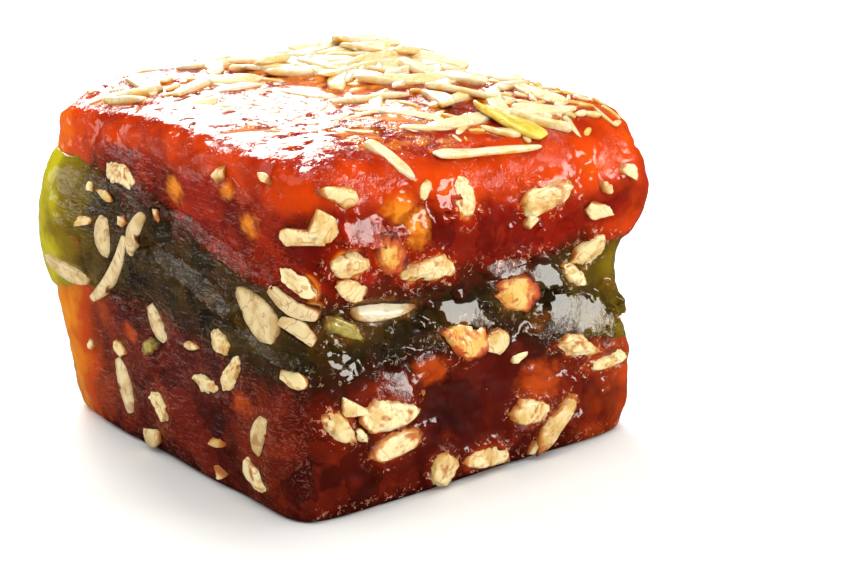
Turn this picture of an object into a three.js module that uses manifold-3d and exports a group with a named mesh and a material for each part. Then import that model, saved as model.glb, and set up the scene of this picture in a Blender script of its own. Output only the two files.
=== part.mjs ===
// A block of nut halwa: three layers of set starch-and-sugar jelly, red, green and red, cut with a
// knife from a slab, with broken cashews and almonds set in its walls and almond slivers on its top.
// Millimetres, +Z up. The origin is at the middle of the flat base. +X runs along the south wall.

import * as THREE from "three";
import { mergeVertices } from "three/addons/utils/BufferGeometryUtils.js";
import Module from "manifold-3d";

const wasm = await Module();
wasm.setup();

// Driving dimensions
const LENGTH = 93; // along X
const WIDTH = 96; // along Y
const HEIGHT = 71.5; // from the base to the rim of the top, at the south-west
const DOME = 3; // how far the middle of the top stands above its rim
const EDGE_ROUND = 7; // radius between the walls and the top
const BASE_ROUND = 12; // height over which the walls turn in to the base
const BASE_TUCK = 2.8; // how far they have turned in where they meet it
const CORNER_POWER = 11; // exponent of the superellipse in plan, for corners about 9 mm round
const LAYER_GAP = 0.3; // between two layers
const NUT_GAP = 0.3; // between a nut and its socket
const BOX_SHIFT = [0.8, -0.7]; // in X and Y

// Rings from the middle of the block to its wall, closer together where the surface turns
const RINGS = [0, 0.48, 0.78, 0.92, 0.98, 1];

// A seeded draw from 0 to 1, the same on every run
function seededDraw(seed) {
  let state = seed >>> 0;
  return () => {
    state = (Math.imul(state, 1664525) + 1013904223) >>> 0;
    return state / 4294967296;
  };
}

const between = (low, high, share) => low + (high - low) * share;

// Blends values given at the four upright edges, named as the walls that meet there
function acrossPlan(corners, u, v) {
  const south = between(corners.southWest, corners.southEast, (1 + u) / 2);
  const north = between(corners.northWest, corners.northEast, (1 + u) / 2);
  return between(south, north, (1 + v) / 2);
}

// The two seams between the layers, as shares of the height at each upright edge. Both hump along the
// west wall, and the lower one along the south wall too.
const LOWER_SEAM = { southWest: 0.41, southEast: 0.28, northWest: 0.4, northEast: 0.36 };
const UPPER_SEAM = { southWest: 0.635, southEast: 0.625, northWest: 0.845, northEast: 0.72 };
const WEST_HUMP = 0.07;
const SOUTH_HUMP = 0.075;
const SEAM_WAVE = 0.6; // mm

function westHump(u, v) {
  return (WEST_HUMP * (1 - u) * Math.sin(Math.PI * ((1 + v) / 2) ** 1.5)) / 2;
}

function southHump(u, v) {
  return (SOUTH_HUMP * (1 - v) * Math.sin((Math.PI * (1 + u)) / 2)) / 2;
}

function lowerSeam(u, v) {
  const share = acrossPlan(LOWER_SEAM, u, v) + westHump(u, v) + southHump(u, v);
  return HEIGHT * share + SEAM_WAVE * Math.sin(5 * u + 4 * v);
}

function upperSeam(u, v) {
  const share = acrossPlan(UPPER_SEAM, u, v) + westHump(u, v);
  return HEIGHT * share + SEAM_WAVE * Math.sin(4 * u - 6 * v);
}

// The top is a low dome that rolls over into the walls, and stands higher over the north edge
const TOP_RISE = { southWest: 0, southEast: 0, northWest: 2.6, northEast: 2.4 }; // mm

// Its west edge sags towards the north-west corner
const CORNER_DROP = 4.5; // mm, at the corner
const DROP_REACH = 24; // mm in from the west edge, where the sag begins

function cornerDrop(u, v) {
  const inward = ((1 + u) * LENGTH) / 2;
  const across = THREE.MathUtils.smoothstep(DROP_REACH - inward, 0, DROP_REACH);
  return CORNER_DROP * across * THREE.MathUtils.smoothstep(v, -0.1, 0.9);
}

// Its south edge sags between the corners
const SOUTH_SAG = 3; // mm, at the edge
const SAG_REACH = 22; // mm in from the south edge, where the sag begins

function southSag(u, v) {
  const inward = ((1 + v) * WIDTH) / 2;
  const across = THREE.MathUtils.smoothstep(SAG_REACH - inward, 0, SAG_REACH);
  const along = THREE.MathUtils.smoothstep(u, -0.8, -0.2) * (1 - THREE.MathUtils.smoothstep(u, 0.45, 0.95));
  return SOUTH_SAG * across * along;
}

function topSkin(u, v) {
  const ring = Math.max(Math.abs(u), Math.abs(v));
  const inward = Math.min(((1 - ring) * LENGTH) / 2, EDGE_ROUND);
  const roll = EDGE_ROUND - Math.sqrt(EDGE_ROUND ** 2 - (EDGE_ROUND - inward) ** 2);
  const dome = DOME * (1 - u ** 6) * (1 - v ** 6) + acrossPlan(TOP_RISE, u, v);
  const sag = cornerDrop(u, v) + southSag(u, v);
  return HEIGHT + dome - roll - sag + 0.5 * (1 - ring) * Math.sin(7 * u + 3 * v);
}

// Each layer swells or shrinks in its own way: how far it stands out of the plan, in mm, at its foot,
// its middle and its head, at each upright edge
const LAYERS = {
  bottom: {
    foot: () => 0,
    head: (u, v) => lowerSeam(u, v) - LAYER_GAP / 2,
    rows: [0, 0.07, 0.2, 0.45, 0.75, 1],
    swell: {
      southWest: [2.4, 1.2, 1.1],
      southEast: [0.7, 1.1, 0.2],
      northWest: [1.1, 1.6, 2.7],
      northEast: [1, 1.2, 0.9],
    },
  },
  middle: {
    foot: (u, v) => lowerSeam(u, v) + LAYER_GAP / 2,
    head: (u, v) => upperSeam(u, v) - LAYER_GAP / 2,
    rows: [0, 0.25, 0.5, 0.75, 1],
    swell: {
      southWest: [1.1, 0.6, 0.9],
      southEast: [0.2, -2.2, -0.7],
      northWest: [2.7, 5.5, 1.4],
      northEast: [0.9, 2, 0.9],
    },
  },
  top: {
    foot: (u, v) => upperSeam(u, v) + LAYER_GAP / 2,
    head: topSkin,
    rows: [0, 0.33, 0.7, 1],
    swell: {
      southWest: [0.9, 1.5, 0.8],
      southEast: [-0.7, 2.4, 1],
      northWest: [1.4, 1.3, 1],
      northEast: [0.9, 1.4, 0.8],
    },
  },
};

// Low lumps all over the walls, as a soft jelly has
function lump(u, v, z) {
  return 0.35 * Math.sin(6 * u + 3 * v + 0.12 * z) + 0.3 * Math.sin(9 * v - 4 * u - 0.19 * z);
}

function baseTuck(z) {
  if (z >= BASE_ROUND) return 0;
  return BASE_TUCK * (1 - Math.sqrt(1 - (1 - z / BASE_ROUND) ** 2));
}

// The point of a layer at plan place u, v, each from -1 to 1, and at a share of its own thickness
function layerPoint(layer, u, v, share) {
  const ring = Math.max(Math.abs(u), Math.abs(v));
  const powers = Math.abs(u) ** CORNER_POWER + Math.abs(v) ** CORNER_POWER;
  const round = ring ? ring / powers ** (1 / CORNER_POWER) : 1;
  const z = between(layer.foot(u, v), layer.head(u, v), share);
  const stages = [0, 1, 2].map((stage) => {
    const corners = Object.entries(layer.swell).map(([edge, values]) => [edge, values[stage]]);
    return acrossPlan(Object.fromEntries(corners), u, v);
  });
  const belly = (stages[1] - (stages[0] + stages[2]) / 2) * (4 * share * (1 - share)) ** 0.7;
  const out = between(stages[0], stages[2], share) + belly + lump(u, v, z) - baseTuck(z);
  const grow = round * (1 + (out * ring ** 6) / (LENGTH / 2));
  return new THREE.Vector3((LENGTH / 2) * u * grow, (WIDTH / 2) * v * grow, z);
}

function layerGeometry(layer) {
  const rings = RINGS.length - 1;
  const rows = layer.rows.length - 1;
  const box = new THREE.BoxGeometry(2, 2, 2, 2 * rings, 2 * rings, rows);
  const place = box.getAttribute("position");
  const spaced = (value) => Math.sign(value) * RINGS[Math.round(Math.abs(value) * rings)];
  for (let i = 0; i < place.count; i++) {
    const share = layer.rows[Math.round(((place.getZ(i) + 1) / 2) * rows)];
    const point = layerPoint(layer, spaced(place.getX(i)), spaced(place.getY(i)), share);
    place.setXYZ(i, point.x, point.y, point.z);
  }
  // The underside takes the diagonals of the upper side, so the two sides of a seam match
  const underside = box.groups[5];
  for (let i = underside.start; i < underside.start + underside.count; i += 6) {
    const [a, b, d, , c] = box.index.array.slice(i, i + 6);
    box.index.array.set([a, b, c, a, c, d], i);
  }
  return bare(box);
}

// Keeps only the positions, with shared corners merged
function bare(geometry) {
  geometry.deleteAttribute("normal");
  geometry.deleteAttribute("uv");
  return mergeVertices(geometry, 1e-4);
}

function toSolid(geometry) {
  return new wasm.Manifold(
    new wasm.Mesh({
      numProp: 3,
      vertProperties: new Float32Array(geometry.getAttribute("position").array),
      triVerts: new Uint32Array(geometry.index.array),
    }),
  );
}

function toGeometry(solid) {
  const mesh = solid.getMesh();
  return new THREE.BufferGeometry()
    .setAttribute("position", new THREE.BufferAttribute(mesh.vertProperties, 3))
    .setIndex(new THREE.BufferAttribute(mesh.triVerts, 1));
}

// The outer shell of the largest body, so a sealed hollow is filled and a loose scrap dropped
function wholeBody(solid) {
  return solid.decompose().sort((a, b) => b.volume() - a.volume())[0];
}

// Moves each corner out so that every face that meets there moves out by the gap
function swollen(geometry, gap) {
  const place = geometry.getAttribute("position");
  const index = geometry.index.array;
  const corner = (i) => new THREE.Vector3().fromBufferAttribute(place, i);
  const meeting = Array.from({ length: place.count }, () => []);
  for (let i = 0; i < index.length; i += 3) {
    const three = [index[i], index[i + 1], index[i + 2]];
    const face = new THREE.Triangle(...three.map(corner)).getNormal(new THREE.Vector3());
    three.forEach((at) => meeting[at].push(face));
  }
  const grown = geometry.clone();
  meeting.forEach((faces, at) => {
    const way = faces.reduce((sum, face) => sum.add(face), new THREE.Vector3()).normalize();
    const least = Math.max(Math.min(...faces.map((face) => face.dot(way))), 0.35);
    const moved = corner(at).addScaledVector(way, gap / least);
    grown.getAttribute("position").setXYZ(at, moved.x, moved.y, moved.z);
  });
  return grown;
}

// Nut forms, each centred with its length along X, its width along Y and its cut face towards +Z

// A piece broken from a cashew, with a rough round back and a knife-cut face
function brokenCashew(length, width, depth, draw) {
  const form = bare(new THREE.DodecahedronGeometry(1));
  const place = form.getAttribute("position");
  const points = Array.from({ length: place.count }, (_, i) => {
    const rough = between(0.84, 1.16, draw());
    const z = Math.min(place.getZ(i) * rough, 0.6);
    return [(place.getX(i) * rough * length) / 2, (place.getY(i) * rough * width) / 2, (z * depth) / 1.6];
  });
  return toGeometry(wasm.Manifold.hull(points));
}

// A sliver or a slice cut across an almond: a thin bar, bent and narrower at its ends
function almondSliver(length, width, depth, bend, segments) {
  const form = bare(new THREE.BoxGeometry(length, width, depth, segments, 1, 1));
  const place = form.getAttribute("position");
  for (let i = 0; i < place.count; i++) {
    const end = ((2 * place.getX(i)) / length) ** 2;
    place.setY(i, place.getY(i) * (1 - 0.45 * end) + bend * (end - 0.4));
    place.setZ(i, place.getZ(i) * (1 - 0.3 * end));
  }
  return form;
}

// Half an almond, or a flake when thin: a teardrop plate
function almondHalf(length, width, depth) {
  const form = bare(new THREE.CylinderGeometry(1, 0.86, depth, 10).rotateX(Math.PI / 2));
  const place = form.getAttribute("position");
  for (let i = 0; i < place.count; i++) {
    const x = place.getX(i);
    const taper = 1 - 0.38 * x;
    place.setX(i, (x * length) / 2);
    place.setY(i, (place.getY(i) * taper * width) / 2);
  }
  return form;
}

// The walls, with how a distance across each, from its left end seen from outside, becomes u and v
const WALLS = {
  south: { span: LENGTH, plan: (share) => [2 * share - 1, -1] },
  east: { span: WIDTH, plan: (share) => [1, 2 * share - 1] },
  north: { span: LENGTH, plan: (share) => [1 - 2 * share, 1] },
  west: { span: WIDTH, plan: (share) => [-1, 1 - 2 * share] },
};

// The point of a wall at a distance across and a height, over the rolled edge too
function wallPoint(wall, across, up) {
  const [u, v] = wall.plan(THREE.MathUtils.clamp(across / wall.span, 0, 1));
  const rollStart = HEIGHT - EDGE_ROUND;
  if (up > rollStart) {
    const rise = Math.min((up - rollStart) / EDGE_ROUND, 0.95);
    const ring = 1 - (EDGE_ROUND * (1 - Math.sqrt(1 - rise * rise))) / (LENGTH / 2);
    return layerPoint(LAYERS.top, u * ring, v * ring, 1);
  }
  const layer = Object.values(LAYERS).find(({ head }) => up <= head(u, v)) ?? LAYERS.top;
  const foot = layer.foot(u, v);
  return layerPoint(layer, u, v, THREE.MathUtils.clamp((up - foot) / (layer.head(u, v) - foot), 0, 1));
}

// A frame on the wall: X to the right seen from outside, Y up and Z outwards
function wallFrame(wall, across, up) {
  const step = 1.5;
  const right = wallPoint(wall, across + step, up).sub(wallPoint(wall, across - step, up));
  const rise = wallPoint(wall, across, up + step).sub(wallPoint(wall, across, up - step));
  const out = new THREE.Vector3().crossVectors(right, rise).normalize();
  right.normalize();
  return new THREE.Matrix4()
    .makeBasis(right, new THREE.Vector3().crossVectors(out, right), out)
    .setPosition(wallPoint(wall, across, up));
}

const PROUD = 0.7; // how far a nut's cut face stands out of the wall

// Nuts on the two walls that the photograph shows: form, distance across the wall, height, length,
// width, the turn in degrees, anticlockwise as seen from outside, and how far a sliver is bent
const SOUTH_NUTS = [
  ["cashew", 12.5, 53.7, 7.5, 5, 10],
  ["cashew", 21.8, 54.2, 8.5, 5, -60],
  ["cashew", 31.2, 49, 13, 4.2, -1],
  ["cashew", 40.5, 63.8, 8.5, 5.5, -85],
  ["cashew", 61.2, 58.5, 13, 5, 14],
  ["cashew", 77.5, 43.5, 9.5, 7.5, 35],
  ["cashew", 74, 39, 7.5, 3, -38],
  ["flake", 20.3, 42, 16, 5, -8],
  ["cashew", 10, 40.4, 10, 3, -29],
  ["cashew", 55.2, 38.6, 11.5, 7, -12],
  ["cashew", 41.2, 31.8, 11, 7, -17],
  ["cashew", 72, 23.6, 12, 3.8, -12],
  ["cashew", 81, 18.6, 13, 4, 2],
  ["cashew", 57.5, 12, 9.5, 5, -10],
  ["cashew", 65, 7.8, 11.5, 5, 52],
  ["cashew", 21.3, 20.4, 12, 6, -5],
  ["cashew", 9, 20.3, 7.6, 4, -45],
  ["cashew", 22.5, 13.4, 12.5, 4.8, 4],
  ["cashew", 35.3, 4.8, 7.5, 6.6, -40],
  ["cashew", 46.9, 4.2, 11.5, 4.6, 0],
];
const WEST_NUTS = [
  ["cashew", 35.4, 61, 17, 5.6, -4],
  ["sliver", 30.5, 46.8, 8, 5, -94, 0.3],
  ["sliver", 42.2, 50.2, 9.5, 3.4, -118, 0.6],
  ["sliver", 31.5, 38.8, 21, 2.9, -132, -1.8],
  ["sliver", 14.5, 35, 15, 4.2, -4, 0.6],
  ["cashew", 94.6, 50.7, 9, 3.8, -35],
  ["almond", 83, 42.6, 13.6, 7, 150],
  ["sliver", 93.4, 46, 10, 3, -26, 1],
  ["sliver", 95, 41, 7.2, 3, -32, -0.8],
  ["sliver", 45.6, 30.7, 7.6, 4, -52, 0.3],
  ["cashew", 43.3, 25, 8.6, 3.8, 20],
  ["cashew", 70.3, 33.3, 6.8, 5.2, 0],
  ["cashew", 73.8, 28, 10.5, 4.4, -122],
  ["cashew", 64.4, 22.7, 10.5, 3.6, 8],
  ["sliver", 31.2, 12.7, 11, 4.6, -66, -0.8],
  ["cashew", 46.5, 12.4, 8, 5, -34],
  ["sliver", 82.3, 16.8, 7.6, 3.4, -105, 0.4],
  ["cashew", 80.3, 7.4, 9, 7, -14],
];

// Nuts on the other two walls, spread by a rule
const HIDDEN_NUTS = { east: 9, north: 10 };
const HIDDEN_FORMS = ["cashew", "sliver", "cashew", "almond", "cashew"];

function hiddenNuts(side, draw) {
  return Array.from({ length: HIDDEN_NUTS[side] }, (_, i) => {
    const across = between(0.09, 0.91, (0.5 + i * 0.618) % 1) * WALLS[side].span;
    const up = between(7, HEIGHT - 9, (i + 0.3 + 0.4 * draw()) / HIDDEN_NUTS[side]);
    const length = between(8.5, 14, draw());
    return [HIDDEN_FORMS[i % 5], across, up, length, between(4.5, 6.5, draw()), 90 * (draw() - 0.5)];
  });
}

const NUT_COLOURS = { cashew: 0xd8b878, sliver: 0xe2cc98, almond: 0xd9b873, flake: 0xe9dcb4 };

function nutGeometry(form, length, width, bend, draw) {
  const depth = Math.min(Math.max(0.8 * width, 3), 5.5);
  if (form === "sliver") return almondSliver(length, width, depth, bend, 4);
  if (form === "almond") return almondHalf(length, width, 3.6);
  if (form === "flake") return almondHalf(length, width, 1.8).rotateX(-0.7);
  return brokenCashew(length, width, depth, draw);
}

function nutPlaced([form, across, up, length, width, turn, bend = 0.6], wall, draw) {
  const geometry = nutGeometry(form, length, width, bend, draw);
  geometry.computeBoundingBox();
  const sink = PROUD - geometry.boundingBox.max.z * (form === "flake" ? 0.45 : 1);
  return geometry
    .rotateZ(THREE.MathUtils.degToRad(turn))
    .translate(0, 0, sink)
    .applyMatrix4(wallFrame(wall, across, up));
}

// Small bits of nut, fused to the layer they sit in: distance across, height, length, width and turn
const SOUTH_BITS = [
  [6.1, 62.6, 5.6, 5, -70], [1.6, 59.8, 6.5, 3.4, -8], [9.7, 67.5, 6.2, 3.6, -20], [12.9, 47.7, 6.5, 3, -28],
  [28.3, 58.7, 6.4, 5, -25], [30.5, 65.2, 3.2, 2, 57], [57.3, 53.2, 3.6, 2.6, 75], [75, 53.2, 6, 3, -20],
  [75.8, 58.2, 3, 1.6, -30], [82.9, 60.5, 4.5, 2.4, -40], [48.4, 29.2, 5.5, 4, 12], [12.2, 24, 5.6, 3, -30],
  [28.6, 23.6, 4, 3, -76], [14.3, 17.2, 3, 1.8, -57], [55.1, 24.9, 3.4, 2, 12], [61, 3.6, 5, 2.6, 20],
];
const WEST_BITS = [
  [30.6, 56, 6.5, 2.2, -8], [23.8, 48.4, 6, 2.2, 20], [48.2, 55.1, 3.2, 1.8, -40], [37.8, 51.8, 3, 2.2, -17],
  [24.6, 56.4, 2.8, 2.4, -37], [71, 68.2, 5, 2.6, 45], [29.8, 20.8, 5.4, 3, -10], [59.1, 29.7, 6.4, 1.8, 11],
  [67, 10.5, 6.2, 2, 13], [66.9, 3.6, 5.2, 2.6, 18], [17.3, 18.3, 4, 3, -44], [93.3, 31.8, 6.4, 3.4, -30],
  [41.3, 4, 6.6, 4.4, 37], [86.3, 70, 4, 2.2, -18],
];
const HIDDEN_BITS = 11;

function hiddenBits(side, draw) {
  return Array.from({ length: HIDDEN_BITS }, (_, i) => {
    const across = between(0.08, 0.92, (0.19 + i * 0.618) % 1) * WALLS[side].span;
    const up = between(5, HEIGHT - 8, (i + draw()) / HIDDEN_BITS);
    return [across, up, between(4, 6.5, draw()), between(2.5, 4, draw()), 180 * draw()];
  });
}

function bitPlaced([across, up, length, width, turn], wall) {
  const form = bare(new THREE.IcosahedronGeometry(0.5)).scale(length, width, width);
  form.rotateZ(THREE.MathUtils.degToRad(turn));
  return form.applyMatrix4(wallFrame(wall, across, up));
}

// Almond slivers on the top, fused to it. First those that the photograph shows: the place of the
// middle, the turn in degrees, length, width, bend and how far it is held up by those beneath
const SHOWN_SLIVERS = [
  [25.2, -9.1, -77, 14, 2.8, 0.3, 1.4], [24.1, 4.2, -88, 12, 2.6, 0.5, 1.8], [27, 27, -60, 13, 4, 1, 2.8],
  [22.6, 18.2, 18, 18.5, 3.4, 1.5, 2.2], [12.5, -4.7, -28, 19.4, 2.8, 1.5, 1.2],
  [-9.8, 1.6, -68, 15.3, 3.2, 1, 0.7], [-1.5, -11.2, -18, 16.2, 3, -1, 0.7], [-6.3, -20.9, -47, 11, 3, 0.6, 0.5],
  [16.4, -21.5, -69, 17.8, 3.6, 1, 0.9], [14.2, -38.8, -68, 15, 3.6, 0.5, 0.7], [21, -40.9, -43, 13, 2.4, 1, 0.2],
  [2.7, -45.6, -2, 25, 3.2, -0.8, 0.1], [-21.4, -44.6, -59, 11.3, 2.4, 0, 0.1], [8.6, -22.4, 72, 14, 2.8, 1, 1.5],
  [9.6, -42.1, -32, 8.3, 2, 1.2, 0.1], [-36.7, -24.5, -27, 10, 2.4, 0.5, 0], [6.3, 16.5, -78, 13.7, 3.2, 0.8, 1.3],
  [-16.6, 17.9, -18, 12.9, 2.8, 1, 0.7], [-11.7, 36, -5, 14.1, 2.8, 1, 0.6], [-36.9, 24.2, -22, 10, 2.6, 1, 0.3],
  [2.9, 27.8, 29, 19.3, 3, 1.5, 1.4], [8, 9.6, 20, 21, 3.2, -1.5, 1.5], [-4.5, -35.2, -18, 12, 2.6, 0.6, 0.3],
  [35.3, -8.5, -79, 16, 2.6, 0.6, 0.7], [-36.8, 6.8, -40, 13.8, 2.6, 1, 0.3], [-40.5, 24.7, -77, 12, 2.4, 0.5, 0],
  [31.2, -29.3, -88, 13.6, 2.6, 0.8, 0.3], [-21.3, -22.8, -4, 12, 2.6, 0.6, 0.2],
];
const SPREAD_SLIVERS = 30; // the rest, spread by a rule over the whole top
const SLIVER_REACH = 0.8; // share of the half size that their middles reach
const SLIVER_THICKNESS = 1.7;
const SLIVER_RISE = 0.35; // its middle above the top, so that it lies half sunk in the syrup

function spreadSlivers(draw) {
  return Array.from({ length: SPREAD_SLIVERS }, (_, i) => {
    const x = (evenSpread(i + 1, 2) - 0.5) * LENGTH * SLIVER_REACH;
    const y = (evenSpread(i + 1, 3) - 0.5) * WIDTH * SLIVER_REACH;
    return [x, y, 180 * draw(), between(11, 19, draw()), between(2.2, 3.2, draw()), between(-1.5, 1.5, draw()), 0];
  });
}

// The radical inverse of a whole number, which spreads places evenly
function evenSpread(number, base) {
  let result = 0;
  let share = 1 / base;
  for (let rest = number; rest > 0; rest = Math.floor(rest / base)) {
    result += (rest % base) * share;
    share /= base;
  }
  return result;
}

function topHeight(x, y) {
  const a = (2 * x) / LENGTH;
  const b = (2 * y) / WIDTH;
  const most = Math.max(Math.abs(a), Math.abs(b), 1e-6);
  const ring = (Math.abs(a) ** CORNER_POWER + Math.abs(b) ** CORNER_POWER) ** (1 / CORNER_POWER);
  const reach = Math.min(ring, 0.995) / most;
  return topSkin(a * reach, b * reach);
}

function sliverPlaced([x, y, turn, length, width, bend, lift]) {
  const way = THREE.MathUtils.degToRad(turn);
  const reach = new THREE.Vector2(Math.cos(way), Math.sin(way)).multiplyScalar(0.35 * length);
  const ahead = topHeight(x + reach.x, y + reach.y);
  const behind = topHeight(x - reach.x, y - reach.y);
  const pitch = Math.atan2(ahead - behind, 0.7 * length);
  const level = Math.max(topHeight(x, y), (ahead + behind) / 2) + SLIVER_RISE + lift;
  return almondSliver(length, width, SLIVER_THICKNESS, bend, 2)
    .rotateY(-pitch)
    .rotateZ(way)
    .translate(x, y, level);
}

// Assembly
const halwa = new THREE.Group();
const nutDraw = seededDraw(11);
const bitDraw = seededDraw(23);
const sliverDraw = seededDraw(37);

const wallNuts = {
  south: SOUTH_NUTS,
  west: WEST_NUTS,
  east: hiddenNuts("east", nutDraw),
  north: hiddenNuts("north", nutDraw),
};
const wallBits = {
  south: SOUTH_BITS,
  west: WEST_BITS,
  east: hiddenBits("east", bitDraw),
  north: hiddenBits("north", bitDraw),
};

const sockets = [];
for (const [side, nuts] of Object.entries(wallNuts)) {
  nuts.forEach((nut, i) => {
    const geometry = nutPlaced(nut, WALLS[side], nutDraw);
    const material = new THREE.MeshStandardMaterial({ color: NUT_COLOURS[nut[0]], roughness: 0.45 });
    const mesh = new THREE.Mesh(geometry, material);
    mesh.name = `${nut[0]}_${side}_${String(i + 1).padStart(2, "0")}`;
    halwa.add(mesh);
    sockets.push(toSolid(swollen(geometry, NUT_GAP)));
  });
}

const bits = [];
for (const [side, places] of Object.entries(wallBits)) {
  places.forEach((place) => {
    const geometry = bitPlaced(place, WALLS[side]);
    geometry.computeBoundingBox();
    bits.push({ solid: toSolid(geometry), middle: geometry.boundingBox.getCenter(new THREE.Vector3()) });
  });
}

// A bit belongs to the layer that its middle lies in, and is trimmed short of the other layers
function layerAt(point) {
  const u = THREE.MathUtils.clamp((2 * point.x) / LENGTH, -1, 1);
  const v = THREE.MathUtils.clamp((2 * point.y) / WIDTH, -1, 1);
  if (point.z < lowerSeam(u, v)) return "bottom";
  return point.z < upperSeam(u, v) ? "middle" : "top";
}

const slivers = [...SHOWN_SLIVERS, ...spreadSlivers(sliverDraw)].map((sliver) => toSolid(sliverPlaced(sliver)));
const layerSolids = Object.fromEntries(
  Object.entries(LAYERS).map(([name, layer]) => [name, toSolid(layerGeometry(layer))]),
);
const LAYER_COLOURS = { bottom: 0x7a1a0c, middle: 0x4a4212, top: 0xb03010 };

for (const name of Object.keys(LAYERS)) {
  const own = bits.filter(({ middle }) => layerAt(middle) === name).map(({ solid }) => solid);
  const toppings = name === "top" ? [...own, ...slivers] : own;
  const others = Object.keys(LAYERS).filter((other) => other !== name);
  const neighbours = others.map((other) => toSolid(swollen(layerGeometry(LAYERS[other]), LAYER_GAP)));
  let solid = layerSolids[name];
  for (const topping of toppings) {
    solid = solid.add(neighbours.reduce((piece, neighbour) => piece.subtract(neighbour), topping));
  }
  for (const socket of sockets) solid = solid.subtract(socket);
  const material = new THREE.MeshStandardMaterial({ color: LAYER_COLOURS[name], roughness: 0.2 });
  const mesh = new THREE.Mesh(toGeometry(wholeBody(solid)), material);
  mesh.name = `halwa_${name}_layer`;
  halwa.add(mesh);
}

// The walls swell unevenly, so this brings the middle of the whole block's box over the origin
halwa.position.set(BOX_SHIFT[0], BOX_SHIFT[1], 0);

export default halwa;
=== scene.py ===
import math

import bmesh
import bpy
from mathutils import Matrix, Vector, bvhtree, kdtree, noise


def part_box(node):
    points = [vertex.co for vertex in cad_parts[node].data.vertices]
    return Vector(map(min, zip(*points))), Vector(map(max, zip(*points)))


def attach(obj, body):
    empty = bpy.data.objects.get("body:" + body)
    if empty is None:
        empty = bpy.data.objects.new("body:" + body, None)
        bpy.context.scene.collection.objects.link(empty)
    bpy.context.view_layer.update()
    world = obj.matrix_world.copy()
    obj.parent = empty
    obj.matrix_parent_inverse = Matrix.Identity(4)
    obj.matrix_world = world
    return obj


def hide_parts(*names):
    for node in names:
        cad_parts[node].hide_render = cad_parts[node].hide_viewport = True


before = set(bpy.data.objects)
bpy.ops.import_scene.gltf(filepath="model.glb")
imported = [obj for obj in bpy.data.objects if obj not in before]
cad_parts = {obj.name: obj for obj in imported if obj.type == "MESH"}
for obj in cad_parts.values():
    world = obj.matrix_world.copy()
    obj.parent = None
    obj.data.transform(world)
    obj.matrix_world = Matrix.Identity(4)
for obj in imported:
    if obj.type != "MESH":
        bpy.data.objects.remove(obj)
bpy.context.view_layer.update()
MM = 0.001


# Camera
# A long lens stands off the block's near corner, a little above it, and looks down on its top and on
# the two walls that meet at that corner.
CAMERA_AT = Vector((-0.2651, -0.3656, 0.1702))
CAMERA_AZIMUTH = math.radians(-38.31)
CAMERA_DOWN = math.radians(17.16)
CAMERA_ROLL = math.radians(-0.25)
CAMERA_LENS = 89.3


def shown(name, data):
    made = bpy.data.objects.new(name, data)
    bpy.context.scene.collection.objects.link(made)
    return made


camera_data = bpy.data.cameras.new("camera")
camera_data.lens = CAMERA_LENS
camera_data.sensor_width = 36
camera_data.clip_end = 20
camera = shown("camera", camera_data)
camera.matrix_world = (
    Matrix.Translation(CAMERA_AT)
    @ Matrix.Rotation(CAMERA_AZIMUTH, 4, "Z")
    @ Matrix.Rotation(math.radians(90) - CAMERA_DOWN, 4, "X")
    @ Matrix.Rotation(CAMERA_ROLL, 4, "Z")
)
bpy.context.scene.camera = camera


# Floor and light
# A pale floor that runs out of view and a pale surround. Of seven soft boxes two stand behind the block and
# whiten its wet top, and the others light the heap, the cut wall at the left and the wet wall at the right.
# Reflections see a darker floor and surround, which keeps the wet walls deep.
FLOOR_HALF = 4.0
FLOOR_COLOUR = (0.86, 0.86, 0.86, 1)
FLOOR_IN_GLOSS = (0.02, 0.017, 0.015, 1)
SURROUND_STRENGTH = 0.66
SURROUND_IN_GLOSS = 0.04
LIGHT_AIM = Vector((0, 0, 0.045))
LIGHT_COLOUR = (1, 0.97, 0.9)
# Name, degrees from +Y towards +X, degrees above the floor, distance, width, height (m) and power (W)
SOFT_BOXES = [
    ("behind", 28, 16.5, 1.2, 0.46, 0.34, 6),
    ("behind_high", 18, 31, 1.2, 0.6, 0.42, 12),
    ("overhead", 100, 76, 1.3, 0.5, 0.5, 6.5),
    ("left", -80, 50, 1.2, 1, 0.8, 3.2),
    ("far_left", -38, 4, 1.3, 0.6, 0.24, 0.9),
    ("right", 142.5, 12.5, 1.1, 0.36, 0.3, 4),
    ("over_front", 200, 56, 1.2, 0.5, 0.5, 3.6),
]

bm = bmesh.new()
bmesh.ops.create_grid(bm, x_segments=2, y_segments=2, size=FLOOR_HALF)
floor_mesh = bpy.data.meshes.new("floor")
bm.to_mesh(floor_mesh)
bm.free()
floor = shown("floor", floor_mesh)


def set_inputs(tree, made, values):
    for key, value in values.items():
        if isinstance(value, bpy.types.NodeSocket):
            tree.links.new(value, made.inputs[key])
        else:
            made.inputs[key].default_value = value


def node(tree, kind, values=None, **settings):
    made = tree.nodes.new(kind)
    for key, value in settings.items():
        setattr(made, key, value)
    set_inputs(tree, made, values or {})
    return made


def mixed(tree, share, first, second):
    return node(tree, "ShaderNodeMix", {0: share, 6: first, 7: second}, data_type="RGBA").outputs[2]


def new_material(name):
    material = bpy.data.materials.new(name)
    material.use_nodes = True
    return material, material.node_tree, material.node_tree.nodes["Principled BSDF"]


floor_paint, tree, shader = new_material("floor")
seen_in_gloss = node(tree, "ShaderNodeLightPath").outputs["Is Glossy Ray"]
floor_colour = mixed(tree, seen_in_gloss, FLOOR_COLOUR, FLOOR_IN_GLOSS)
set_inputs(tree, shader, {"Base Color": floor_colour, "Roughness": 0.8})
floor_mesh.materials.append(floor_paint)

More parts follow.
